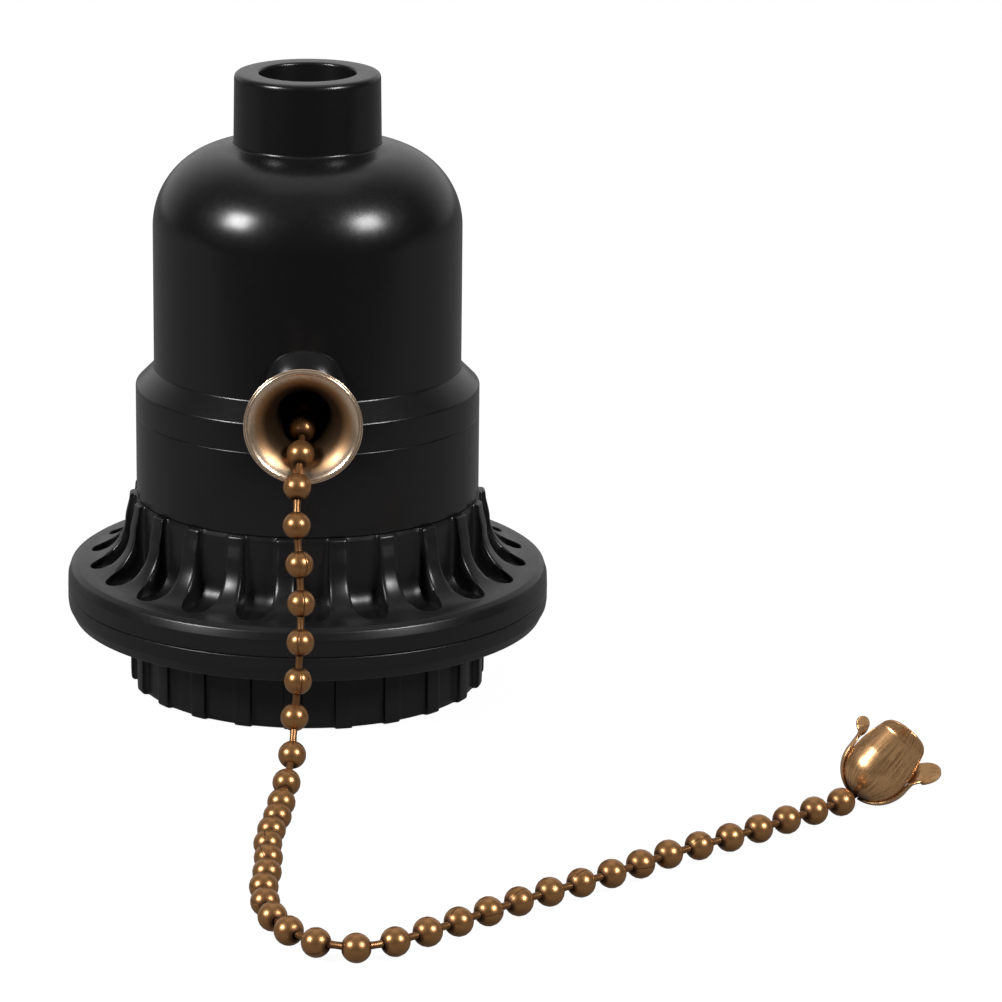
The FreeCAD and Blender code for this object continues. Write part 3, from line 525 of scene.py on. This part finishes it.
# %% [markdown]
# The barrel carries the wide screw thread for the shade rings. Only its collar shows
# while the rings are on, but the thread is real: it comes into view when they are
# wound down.

# %% Barrel
THREAD_R = COLLAR_R - 0.7
THREAD_LOW = 0.5
THREAD_TOP = SHOULDER_Z - 0.4
LEDGE_Z = SEAM_Z - 11.9
barrel_outline = np.concatenate([
    eased([(THREAD_R - 3.9, LEDGE_Z), (THREAD_R - 3.9, 0.0, 0.3), (THREAD_R - 0.5, 0.0, 0.2)]),
    column(THREAD_R, THREAD_LOW, THREAD_TOP, 96),
    eased([(THREAD_R, SHOULDER_Z), (COLLAR_R, SHOULDER_Z, 0.25), (COLLAR_R, SEAM_Z, 0.18),
           (COLLAR_R - 2.2, SEAM_Z), (COLLAR_R - 2.2, SEAM_Z + 2.6), (COLLAR_R - 3.5, SEAM_Z + 2.6),
           (COLLAR_R - 3.5, LEDGE_Z)])])
barrel_grid = threaded(spin(barrel_outline, TURNS), THREAD_LOW, THREAD_TOP, THREAD_R,
                       pitch=2.6, depth=-0.85)
make_piece("barrel_moulding", [barrel_grid], black_gloss, "holder", ["barrel"])

# %% [markdown]
# The shade rings are fluted for grip. Across each ring, columns of the grid belong
# either to a flute, where they run parallel, or to a land, where they fan out. A mask
# per column blends between two outlines, the land's and the flute's floor, and a few
# rows end each flute in a round scoop.

# %% Fluted surface
FLUTES = 22
FLUTE_HALF = 2.05
flute_u = np.array([-1.0, -0.975, -0.93, -0.84, -0.6, -0.3, 0, 0.3, 0.6, 0.84, 0.93, 0.975, 1.0])
flute_mask = np.array([0.08, 0.42, 0.78, 0.94, 0.99, 1, 1, 1, 0.99, 0.94, 0.78, 0.42, 0.08])
land_share = np.array([0.07, 0.22, 0.5, 0.78, 0.93])
land_mask = np.array([0.015, 0.0, 0.0, 0.0, 0.015])


def fluted_ring(land, floor, surface, stop, tail, first_land):
    """Grid of a fluted ring from outlines in (radius, height).

    Up to the end of land and floor, a point is land + mask * (floor - land). Then the
    floor runs on to stop, shortened by a half circle across the flute, climbs to
    surface(radius), and all columns join in the tail.
    """
    end = stop - FLUTE_HALF + FLUTE_HALF * np.sqrt(1 - flute_u ** 2)
    share = np.linspace(0, 1, 6)[1:, None]
    rise = np.array([[0.02, 0.25], [0.06, 0.6], [0.14, 0.9], [0.26, 1.0]])
    out_share = np.linspace(0, 1, 9)[1:, None]
    last_r = tail[0][0]
    # rows beyond the sweep, one value for each column of a flute
    run_r = floor[-1][0] + share * (end[None] - floor[-1][0])
    run_z = np.full_like(run_r, floor[-1][1])
    climb_r = end[None] + rise[:, :1]
    climb_z = floor[-1][1] + rise[:, 1:] * (surface(climb_r) - floor[-1][1])
    out_r = climb_r[-1][None] + out_share * (last_r - climb_r[-1][None])
    floor_r = np.concatenate([run_r, climb_r, out_r])
    floor_z = np.concatenate([run_z, climb_z, surface(out_r)])
    hold = land[-1][0] + np.linspace(0, 0.3, 10)[1:, None]
    land_tail_r = np.concatenate([hold, hold[-1] + out_share * (last_r - hold[-1])])
    land_tail = np.concatenate([land_tail_r, surface(land_tail_r)], axis=1)
    land_full = np.concatenate([land, land_tail, tail])
    drop = np.concatenate([floor - land, np.zeros_like(land_tail), np.zeros_like(tail)])
    columns = []
    for turn in range(FLUTES):
        middle = first_land + (turn + 0.5) * 2 * np.pi / FLUTES
        following = middle + 2 * np.pi / FLUTES
        mask = flute_mask[None, :, None]
        near = land[:, None, :] * (1 - mask) + floor[:, None, :] * mask
        far_floor = np.stack([floor_r, floor_z], axis=2)
        far = land_tail[:, None, :] * (1 - mask) + far_floor * mask
        ends = np.repeat(tail[:, None, :], len(flute_u), axis=1)
        profile = np.concatenate([near, far, ends])
        angle = middle + np.arcsin(flute_u[None] * FLUTE_HALF / profile[..., 0])
        columns.append((profile, angle))
        top = land_full[:, None, :] + land_mask[None, :, None] * drop[:, None, :]
        edge = np.arcsin(FLUTE_HALF / top[..., 0])
        angle = (middle + edge) * (1 - land_share) + (following - edge) * land_share
        columns.append((top, angle))
    profile = np.concatenate([column[0] for column in columns], axis=1)
    angle = np.concatenate([column[1] for column in columns], axis=1)
    radius, height = profile[..., 0].T, profile[..., 1].T
    angle = angle.T
    return np.stack([radius * np.cos(angle), radius * np.sin(angle), height], axis=2)


# %% [markdown]
# The upper ring's lands sweep outwards like the foot of a column and end in the
# flange's face. Its flutes stay deep and turn sharply at the bottom, which gives the
# bright glints low down in each scoop.

# %% Upper shade ring
DRUM_R = THREAD_R + 1.6
BORE_R = THREAD_R + 0.15
FACE_Z = FLANGE_Z + 3.4
FLOOR_R = DRUM_R - 0.72
SWEEP_R = 5.3
LAND_END = 24.25
TAIL_R = 27.1
FRONT = -np.pi / 2
sweep_centre = (DRUM_R + 0.5 + SWEEP_R, FACE_Z + 5.4)


def upper_surface(radius):
    """Height of the land's sweep at a radius, level beyond its lowest point."""
    across = np.clip(sweep_centre[0] - radius, 0, SWEEP_R)
    return sweep_centre[1] - np.sqrt(SWEEP_R ** 2 - across ** 2)


stop_angle = 180 + math.degrees(math.acos((sweep_centre[0] - LAND_END) / SWEEP_R))
upper_land = np.concatenate([
    [(BORE_R, SHOULDER_Z), (DRUM_R - 0.6, SHOULDER_Z)],
    eased([(DRUM_R - 0.6, SHOULDER_Z), (DRUM_R - 0.05, SHOULDER_Z, 0.4),
           (DRUM_R, SHOULDER_Z - 1.2)])[1:-1],
    np.linspace((DRUM_R + 0.03, SHOULDER_Z - 1.0), (DRUM_R + 0.4, sweep_centre[1] + 0.6), 5),
    arc(sweep_centre, SWEEP_R, 180, stop_angle, 15)])
upper_floor = np.concatenate([
    [(BORE_R, SHOULDER_Z), (FLOOR_R - 0.2, SHOULDER_Z)],
    np.linspace((FLOOR_R - 0.12, SHOULDER_Z - 0.02), (FLOOR_R, SHOULDER_Z - 0.5), 7),
    np.linspace((FLOOR_R, SHOULDER_Z - 0.9), (FLOOR_R, sweep_centre[1] - 0.4), 5),
    np.linspace((FLOOR_R, sweep_centre[1] - 0.9), (FLOOR_R, FACE_Z - 0.5 + 2.9), 3),
    arc((FLOOR_R + 2.7, FACE_Z - 0.5 + 2.7), 2.7, 180, 270, 12)])
upper_tail = np.concatenate([
    [(TAIL_R, float(upper_surface(TAIL_R)))],
    eased([(27.6, FACE_Z + 0.03), (28.0, FACE_Z - 0.02, 0.4), (28.62, FACE_Z - 0.42, 0.45),
           (28.96, FACE_Z - 1.45, 0.9), (FLANGE_R, FLANGE_Z + 0.6),
           (FLANGE_R, FLANGE_Z + 0.04, 0.16), (FLANGE_R - 0.5, FLANGE_Z + 0.02)]),
    [(BORE_R, FLANGE_Z + 0.02)]])
print("upper ring rows", len(upper_land), len(upper_floor))
upper_grid = fluted_ring(upper_land, upper_floor, upper_surface, FLANGE_R - 2.7, upper_tail,
                         FRONT + math.radians(10.4))
make_piece("upper_ring_moulding", [upper_grid], black_satin, "upper_ring",
           ["upper_shade_ring"], crease=50.0)

# %% [markdown]
# The lower ring is the same idea turned over: a short drum under a flange, with a
# small sweep where the lands meet it.

# %% Lower shade ring
UNDER_Z = FLANGE_Z - 3.1
UNDER_R = 2.2
lower_centre = (DRUM_R + UNDER_R, UNDER_Z - UNDER_R)


def lower_surface(radius):
    """Height of the land's sweep under the flange, level beyond its highest point."""
    across = np.clip(lower_centre[0] - radius, 0, UNDER_R)
    return lower_centre[1] + np.sqrt(UNDER_R ** 2 - across ** 2)


lower_land = np.concatenate([
    [(BORE_R, 0.0), (DRUM_R - 0.7, 0.0)],
    eased([(DRUM_R - 0.7, 0.0), (DRUM_R - 0.04, 0.0, 0.45), (DRUM_R, 1.4)])[1:-1],
    np.linspace((DRUM_R, 1.2), (DRUM_R, lower_centre[1] - 0.2), 5),
    arc(lower_centre, UNDER_R, 180, 121, 10)])
lower_floor = np.concatenate([
    [(BORE_R, 0.0), (FLOOR_R - 0.2, 0.0)],
    np.linspace((FLOOR_R - 0.12, 0.02), (FLOOR_R, 0.5), 7),
    np.linspace((FLOOR_R, 0.9), (FLOOR_R, UNDER_Z - 1.3), 5),
    arc((FLOOR_R + 1.2, UNDER_Z + 0.15 - 1.2), 1.2, 180, 90, 10)])
lower_tail = np.concatenate([
    [(25.0, UNDER_Z)],
    eased([(27.6, UNDER_Z), (28.25, UNDER_Z + 0.02, 0.3), (28.9, UNDER_Z + 1.3, 0.6),
           (FLANGE_R, UNDER_Z + 2.0), (FLANGE_R, FLANGE_Z - 0.04, 0.16),
           (FLANGE_R - 0.5, FLANGE_Z - 0.02)]),
    [(BORE_R, FLANGE_Z - 0.02)]])
lower_grid = fluted_ring(lower_land, lower_floor, lower_surface, FLANGE_R - 4.4, lower_tail,
                         FRONT + math.radians(12.5))
make_piece("lower_ring_moulding", [lower_grid], black_satin, "lower_ring",
           ["lower_shade_ring"], crease=50.0)

# %% [markdown]
# The trumpet is spun sheet brass. A slim throat widens slowly, then a rounded flare
# opens it to the mouth, and the rim is rolled over, with a fine groove where the roll
# meets the flare. Painted shade darkens the throat inwards and the fine groove, through
# the darkening attribute.

# %% Trumpet
TRUMPET_TURNS = 112
TUBE_R = 2.15
TUBE_END = 13.8
BACK = MOUTH - 11.2
FLARE_R = 4.3
throat_share = np.linspace(0, 1, 14)
throat = np.stack([TUBE_R + 1.37 * throat_share ** 1.6, BACK + 8.05 * throat_share], axis=1)
flare_centre = (3.52 + FLARE_R * math.sin(math.radians(75)),
                MOUTH - 0.2 - FLARE_R * math.cos(math.radians(20)))
flare = arc(flare_centre, FLARE_R, 165, 110, 16)[1:]
inside = np.concatenate([throat, flare])
lip = np.concatenate([arc((6.36, MOUTH - 0.36), 0.24, 120, 20, 7), [(6.56, MOUTH - 0.42)],
                      arc((6.66, MOUTH - 0.34), 0.12, 140, -60, 8)])
outside = inside[::-1] + [0.40, -0.16]
outside[:, 0] = np.minimum(outside[:, 0], 6.6)
tube = np.array([(TUBE_R + 0.4, BACK - 0.2), (TUBE_R + 0.4, TUBE_END), (TUBE_R, TUBE_END)])
trumpet_outline = np.concatenate([inside, lip, outside[1:], tube])
trumpet_grid = spin_on_guide(trumpet_outline, TRUMPET_TURNS)
# Painted shade: darker deeper into the throat and in the fine groove, none on the lip.
depth = np.ones(len(trumpet_outline))
depth[:len(inside)] = np.clip((6.0 - inside[:, 0]) / 1.7, 0, 1)
depth[len(inside):len(inside) + len(lip)] = 0
groove = len(inside) + 7
depth[groove] = 0.9
make_piece("trumpet", [trumpet_grid], trumpet_plate, "holder", ["bell_guide"],
           values=np.repeat(depth[None], TRUMPET_TURNS, axis=0))

# %% [markdown]
# The ball chain is limp, so its route is one smooth curve: straight out of the
# trumpet, over the lip, down, and along the table. The route's points pull on a
# degree-two spline, and the beads are set one pitch apart along it.

# %% Route of the chain
BEAD_R = 1.6
BEADS = 45
PITCH = 4.4125
SLACK = 0.33
FLOOR_LINE = 1.62
route = [
    (0.0, -0.80, 40.1), (0.0, -14.0, 40.1), (0.0, -22.4, 40.1),
    (-0.2, -31.5, 37.4), (-0.9, -36.7, 31.7), (0.0, -38.4, 21.8), (-0.3, -40.9, 13.8),
    (-0.9, -39.9, 8.1), (-1.0, -42.7, 4.0), (-2.0, -49.0, FLOOR_LINE), (-2.5, -56.4, FLOOR_LINE),
    (-3.5, -63.0, FLOOR_LINE), (-3.0, -70.8, FLOOR_LINE), (-3.7, -79.9, FLOOR_LINE),
    (-1.9, -88.7, FLOOR_LINE), (2.7, -94.5, FLOOR_LINE), (7.8, -95.5, FLOOR_LINE),
    (14.7, -89.8, FLOOR_LINE), (24.1, -80.7, FLOOR_LINE), (34.7, -72.3, FLOOR_LINE),
    (40.4, -66.4, FLOOR_LINE), (46.6, -62.1, FLOOR_LINE), (53.6, -56.0, FLOOR_LINE),
    (64.0, -46.5, FLOOR_LINE)]


def smooth_line(points):
    """Points read from the NURBS spline that the route's points pull on."""
    curve = bpy.data.curves.new("chain_route", "CURVE")
    curve.dimensions = "3D"
    curve.resolution_u = 48
    spline = curve.splines.new("NURBS")
    spline.points.add(len(points) - 1)
    for target, point in zip(spline.points, points):
        target.co = (point[0] * MM, point[1] * MM, point[2] * MM, 1.0)
    spline.order_u = 3
    spline.use_endpoint_u = True
    holder = bpy.data.objects.new("chain_route", curve)
    mesh = bpy.data.meshes.new_from_object(holder)
    line = np.empty(len(mesh.vertices) * 3)
    mesh.vertices.foreach_get("co", line)
    bpy.data.objects.remove(holder)
    bpy.data.curves.remove(curve)
    bpy.data.meshes.remove(mesh)
    return line.reshape(-1, 3) / MM


def stations(line, pitch, count):
    """Points on a line, each one pitch from the last in a straight measure, and where it ends."""
    found, at = [line[0]], 0
    while len(found) < count:
        gap = np.linalg.norm(line[at:] - found[-1], axis=1)
        step = int(np.argmax(gap >= pitch))
        share = (pitch - gap[step - 1]) / (gap[step] - gap[step - 1])
        found.append(line[at + step - 1] * (1 - share) + line[at + step] * share)
        at += step
    return np.array(found), at


chain_line = smooth_line(route)
from_start = np.linalg.norm(chain_line - chain_line[0], axis=1)
beads, last_index = stations(chain_line[from_start >= SLACK], PITCH, BEADS)
last_index += int(np.sum(from_start < SLACK))
print("chain line points", len(chain_line), "last bead", beads[-1].round(2))

# %% [markdown]
# The tulip hangs from the last link by a hole at its round end, with one bead caught
# inside. Its axis leans up and along the chain, so its round bottom rests on the table.

# %% Place of the tulip
TULIP_R = 4.0
HANG = 6.75
TILT = math.radians(47.0)
HEADING = math.radians(18.0)
LEAD = math.radians(45.5)
tulip_axis = np.array([math.cos(TILT) * math.cos(HEADING), math.cos(TILT) * math.sin(HEADING),
                       math.sin(TILT)])
rise = TULIP_R + 0.02 - beads[-1][2]
flat = math.sqrt(HANG ** 2 - rise ** 2)
tulip_centre = beads[-1] + np.array([flat * math.cos(LEAD), flat * math.sin(LEAD), rise])
caught = tulip_centre - tulip_axis * (TULIP_R - 0.35 - BEAD_R - 0.1)
print("tulip centre", tulip_centre.round(2), "bead inside", caught.round(2))


def basis(along, roll=0.0):
    """Three unit directions, the last one along the given direction, rolled about it."""
    along = along / np.linalg.norm(along)
    side = np.cross(along, [0.0, 0.0, 1.0])
    if np.linalg.norm(side) < 1e-3:
        side = np.array([1.0, 0.0, 0.0])
    side /= np.linalg.norm(side)
    up = np.cross(side, along)
    first = side * math.cos(roll) + up * math.sin(roll)
    return np.stack([first, np.cross(along, first), along])


# %% [markdown]
# A bead is rolled from a strip, so it is a hollow ball with a hole at each end and a
# fine seam along one side. One small grid is worked out, then placed at each station
# with its axis along the chain and its seam turned at random, with a fixed seed.

# %% Beads
seam_turns = np.radians(np.concatenate([[0, 2.2, 6], np.linspace(20, 340, 19), [354, 357.8]]))
bead_line = np.concatenate([[(0.42, -1.36)], arc((0, 0), BEAD_R, -72, 72, 17), [(0.42, 1.36)]])
unit_r = bead_line[:, 0][None] * np.ones((len(seam_turns), 1))
in_seam = np.exp(-(np.minimum(seam_turns, 2 * np.pi - seam_turns) / 0.03) ** 2)[:, None]
unit_r = unit_r * (1 - 0.03 * in_seam)
bead_unit = np.stack([unit_r * np.cos(seam_turns)[:, None], unit_r * np.sin(seam_turns)[:, None],
                      bead_line[:, 1][None] + 0 * unit_r], axis=2)
at_hole = np.clip((np.abs(bead_line[:, 1]) / BEAD_R - 0.80) * 6, 0, 1)[None]
bead_crevice = np.clip(at_hole + 0.9 * in_seam, 0, 1)
dice = np.random.default_rng(7)
directions = np.gradient(beads, axis=0)
bead_grids = [centre + bead_unit @ basis(direction, dice.uniform(0, 2 * math.pi))
              for centre, direction in zip(beads, directions)]
chain_piece = make_piece("chain_beads_fine", bead_grids, chain_brass, "pull_chain",
                         ["chain_beads"], closed=(True, False), crease=60.0,
                         values=np.tile(bead_crevice, (len(beads), 1)))
held_piece = make_piece("tulip_held_bead", [caught + bead_unit @ basis(tulip_axis)], chain_brass,
                        "pull_chain", closed=(True, False), crease=60.0,
                        values=bead_crevice)

# %% [markdown]
# Short wires join the beads. Their headed ends sit inside the beads, so only a slightly
# waisted neck shows. The last two run from a bead to the tulip's hole and on to the
# bead caught inside.

# %% Links
link_line = np.array([(0.0, 0.0), (0.44, 0.0), (0.42, 0.2), (0.40, 0.5), (0.42, 0.8), (0.44, 1.0),
                      (0.0, 1.0)])
link_unit = spin(link_line, 14)
hole = tulip_centre - tulip_axis * (TULIP_R - 0.17)
starts = np.concatenate([beads, hole[None] - 0.1 * tulip_axis])
ends = np.concatenate([beads[1:], hole[None], caught[None]])
TO_NECK = 1.3
SHORTEST = 0.3
link_grids = []
for index, (start, end) in enumerate(zip(starts, ends)):
    length = np.linalg.norm(end - start)
    along = (end - start) / length
    hidden = 2 * TO_NECK if index < BEADS - 1 else TO_NECK
    run = max(length - hidden, SHORTEST)
    link_grids.append(start + along * TO_NECK + (link_unit * [1, 1, run]) @ basis(along))
links_piece = make_piece("chain_links_fine", link_grids, chain_brass, "pull_chain",
                         ["chain_links"], closed=(True, False), crease=60.0,
                         values=np.full(link_unit[..., 0].size * len(link_grids), 0.25))

# %% [markdown]
# The tulip is pressed sheet: a round cup whose wall is slit into four petals, two broad
# and two narrow. A petal is a strip over two parameters: along it, an outline leads its
# radius and height from the hole at the bottom to the curled tip, and across it, its
# width narrows to a rounded end. The narrow tips are also twisted a little.

# %% Tulip
CUP_R = 3.88
ACROSS = 33
EDGE = math.radians(68.0)
SIDE = math.pi / 2 - EDGE - 0.004
TULIP_TURN = math.radians(30.4)
level = np.cross(tulip_axis, [0.0, 0.0, 1.0])
level /= np.linalg.norm(level)
steep = np.cross(level, tulip_axis)
front_axis = level * math.cos(TULIP_TURN) + steep * math.sin(TULIP_TURN)
tulip_frame = np.stack([np.cross(tulip_axis, front_axis), front_axis, tulip_axis])


def petal(facing, half, corners, widths, twist, rounding, late=0.0):
    """One petal with its share of the cup, as a grid (across, along, xyz).

    A point is (r cos a, r sin a, h), where (r, h) follows a sphere up to the cup's
    widest place and then an outline with eased corners, and a = facing + across * width
    / r. Past the share late of its length the strip flattens and turns about its own
    length by twist; rounding is the share of the length that the round tip takes.
    """
    low = np.radians(np.linspace(-83, 0, 26))
    line = eased([(CUP_R, 0.0), *corners])
    run = np.concatenate([[0], np.cumsum(np.linalg.norm(np.diff(line, axis=0), axis=1))])
    t = 1 - (1 - np.linspace(0, 1, 46)[1:]) ** 1.6
    r = np.concatenate([CUP_R * np.cos(low), np.interp(t * run[-1], run, line[:, 0])])
    h = np.concatenate([CUP_R * np.sin(low), np.interp(t * run[-1], run, line[:, 1])])
    share = half * CUP_R * np.cos(low)
    width = np.interp(t, np.linspace(0, 1, len(widths) + 1), [share[-1], *widths])
    end = np.clip((t - 1 + rounding) / rounding, 0, 1)
    width = np.concatenate([share, width * np.sqrt(np.clip(1 - end ** 2.6, 0.0004, 1))])
    across = np.linspace(-1, 1, ACROSS)[:, None]
    angle = facing + across * (width / r)[None]
    rolled = np.stack([r * np.cos(angle), r * np.sin(angle), h + 0 * angle], axis=2)
    turn = np.concatenate([0 * low, twist * np.clip((t - late) / 0.45, 0, 1)])
    tangent = np.gradient(np.stack([r, h], axis=1), axis=0)
    tangent /= np.linalg.norm(tangent, axis=1)[:, None]
    sideways = across * (width * np.cos(turn))[None]
    inward = across * (width * np.sin(turn))[None]
    flat_r, flat_h = r - inward * tangent[:, 1], h + inward * tangent[:, 0]
    flat = np.stack([flat_r * math.cos(facing) - sideways * math.sin(facing),
                     flat_r * math.sin(facing) + sideways * math.cos(facing), flat_h], axis=2)
    mix = np.concatenate([0 * low, np.clip((t - late) / 0.35, 0, 1)])[None, :, None]
    return rolled * (1 - mix) + flat * mix if twist else rolled


petal_grids = [
    petal(math.pi / 2, EDGE, [(3.92, 1.4, 1.2), (3.66, 4.3, 0.7), (4.6, 5.4)],
          [4.5, 4.25, 3.75, 3.25, 3.1], 0.0, 0.3),
    petal(math.pi, SIDE, [(3.95, 1.4, 1.0), (3.9, 2.2, 0.8), (5.0, 3.5)],
          [1.35, 1.0, 0.7, 0.85, 0.85], 1.0, 0.3, 0.27),
    petal(0.0, SIDE, [(3.92, 1.3, 1.0), (3.85, 2.5, 0.9), (5.5, 4.5)],
          [1.5, 1.4, 1.4, 1.35, 1.3], -1.0, 0.4, 0.1),
    petal(-math.pi / 2, EDGE, [(3.9, 1.4, 1.2), (3.5, 2.6, 0.8), (3.6, 3.2)],
          [4.3, 3.9, 3.4, 2.9, 2.5], 0.0, 0.3)]


def to_tulip(grid):
    return tulip_centre + grid @ tulip_frame


# The petals are darker round the hole at the cup's round end, through the same attribute.
grid_low = np.concatenate([np.full(3, 0.8), np.linspace(0.6, 0, 8), np.zeros(60)])
petal_values = np.tile(grid_low, (ACROSS * len(petal_grids), 1))
petal_piece = make_piece("tulip_petals", [to_tulip(grid) for grid in petal_grids], tulip_brass,
                         "pull_chain", ["tulip_pull"], closed=(False, False),
                         values=petal_values)
wall = petal_piece.modifiers.new("sheet", "SOLIDIFY")
wall.thickness = 0.30 * MM
wall.offset = -1.0

# %% [markdown]
# The chain is a limp cord: it starts on the switch lever, leaves through the trumpet
# and ends in its tulip.

# %% [markdown]
# Seen from below, the lamp's screw shell shows its rolled thread. The sheet keeps its
# thickness, because both of its sides swing together.

# %% Screw shell
shell_low, shell_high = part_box("screw_shell")
shell_bottom, shell_top = shell_low[2] / MM, shell_high[2] / MM
SHELL_R = 13.1
rolled_top = shell_bottom + 13.2
shell_inner = column(SHELL_R, shell_bottom, rolled_top, 70)
shell_outer = shell_inner[::-1] + [0.35, 0.0]
shell_neck = np.array([(10.8, shell_top - 0.35), (6.9, shell_top - 0.35), (6.9, shell_top),
                       (11.15, shell_top)])
shell_outline = np.concatenate([shell_inner, shell_neck, shell_outer])
shell_grid = threaded(spin(shell_outline, 96), shell_bottom, rolled_top, SHELL_R + 0.17,
                      pitch=3.63, depth=0.85)
make_piece("lamp_shell", [shell_grid], contact_brass, "holder", ["screw_shell"])

# %% [markdown]
# The pieces that keep their mechanical shape only need a finish. Each goes by its own
# slot in the record.

# %% Finishes for the inner pieces
finishes = {"bakelite": black_gloss, "phenolic": brown_phenolic, "brass": contact_brass,
            "chain_brass": chain_brass, "guide_plate": trumpet_plate, "steel": plated_steel}
for entry in frame["record"]["subparts"]:
    node = frame["nodes"][entry["node"]]
    for material_slot in node.material_slots:
        material_slot.material = finishes[entry["material_slot"]]

# %% [markdown]
# The floor is a plain pale sheet. It glows just enough to reach white in the camera,
# and far less in mirrored rays, so that black gloss stays black low down.

# %% Floor
FLOOR_GLOW = 0.94
FLOOR_IN_MIRROR = 0.12
floor_mesh = bpy.data.meshes.new("floor")
floor_corners = [(-3, -0.125, 0), (3, -0.125, 0), (3, 4, 0), (-3, 4, 0)]
floor_mesh.from_pydata(floor_corners, [], [(0, 1, 2, 3)])
floor_material = bpy.data.materials.new("pale_floor")
floor_material.use_nodes = True
tree = floor_material.node_tree
floor_shader = tree.nodes["Principled BSDF"]
floor_shader.inputs["Base Color"].default_value = (0.10, 0.10, 0.10, 1.0)
floor_shader.inputs["Roughness"].default_value = 0.9
floor_shader.inputs["Specular IOR Level"].default_value = 0.0
rays = tree.nodes.new("ShaderNodeLightPath")
seen = math_node(tree, "MAXIMUM", rays.outputs["Is Camera Ray"],
                 rays.outputs["Is Transmission Ray"])
floor_shader.inputs["Emission Color"].default_value = (1.0, 1.0, 1.0, 1.0)
in_mirror = math_node(tree, "MULTIPLY", rays.outputs["Is Glossy Ray"], FLOOR_IN_MIRROR)
in_view = math_node(tree, "MULTIPLY", seen, FLOOR_GLOW)
glow = math_node(tree, "MAXIMUM", in_view, in_mirror)
tree.links.new(glow, floor_shader.inputs["Emission Strength"])
floor_mesh.materials.append(floor_material)
floor_piece = bpy.data.objects.new("floor", floor_mesh)
floor_piece.location = (0, 0, -0.0002)
bpy.context.scene.collection.objects.link(floor_piece)

# %% [markdown]
# The studio is white behind the object and dim in front of it, so black gloss stays
# black towards the camera and turns grey at its edges. The world is that room: its
# brightness follows the direction, and the camera itself sees plain white.

# %% World
BACKDROP = 0.35
BACKDROP_IN_MIRROR = 0.3
CEILING = (0.02, 0.15)
world = bpy.data.worlds.new("studio")
bpy.context.scene.world = world
world.use_nodes = True
tree = world.node_tree
background = tree.nodes["Background"]
background.inputs["Color"].default_value = (1.0, 1.0, 1.0, 1.0)
direction = tree.nodes.new("ShaderNodeSeparateXYZ")
tree.links.new(tree.nodes.new("ShaderNodeTexCoord").outputs["Generated"], direction.inputs[0])


def ramp(tree, value, low, high, dim, bright):
    """Rise smoothly from dim to bright while the value goes from low to high."""
    node = tree.nodes.new("ShaderNodeMapRange")
    node.interpolation_type = "SMOOTHSTEP"
    numbers = (("From Min", low), ("From Max", high), ("To Min", dim), ("To Max", bright))
    for label, number in numbers:
        node.inputs[label].default_value = number
    tree.links.new(value, node.inputs["Value"])
    return node.outputs[0]


rays = tree.nodes.new("ShaderNodeLightPath")
backdrop = ramp(tree, direction.outputs[1], 0.1, 0.9, 0.0, BACKDROP)
ceiling = ramp(tree, direction.outputs[2], 0.55, 0.95, *CEILING)
behind = ramp(tree, direction.outputs[1], 0.3, 0.9, 0.0, BACKDROP_IN_MIRROR)
mirrored = math_node(tree, "MULTIPLY", behind, rays.outputs["Is Glossy Ray"])
room = math_node(tree, "ADD", math_node(tree, "ADD", backdrop, ceiling), mirrored)
seen = math_node(tree, "MAXIMUM", rays.outputs["Is Camera Ray"],
                 rays.outputs["Is Transmission Ray"])
tree.links.new(math_node(tree, "MAXIMUM", room, seen), background.inputs["Strength"])

# %% [markdown]
# Two soft boxes hang high at the left and right. They put the paired highlights on the
# dome's shoulder and on every bead. A broad weak one overhead fills the rings.

# %% Soft boxes
def soft_box(name, direction, distance, size, power):
    """A square lamp at a distance along a direction from the object's middle, facing it."""
    middle = np.array([0.0, -0.01, 0.045])
    direction = np.array(direction) / np.linalg.norm(direction)
    lamp = bpy.data.lights.new(name, "AREA")
    lamp.shape = "SQUARE"
    lamp.size = size
    lamp.energy = power
    holder = bpy.data.objects.new(name, lamp)
    holder.location = middle + direction * distance
    holder.rotation_euler = (-Vector(direction)).to_track_quat("-Z", "Y").to_euler()
    bpy.context.scene.collection.objects.link(holder)
    print(name, "at", [round(value, 3) for value in holder.location], "power", power)


soft_box("left_box", (-0.73, -0.45, 0.51), 0.9, 0.24, 8.2)
soft_box("right_box", (0.66, -0.53, 0.53), 0.9, 0.24, 7.2)
soft_box("overhead_box", (0.0, 0.25, 1.0), 1.1, 0.8, 1.0)
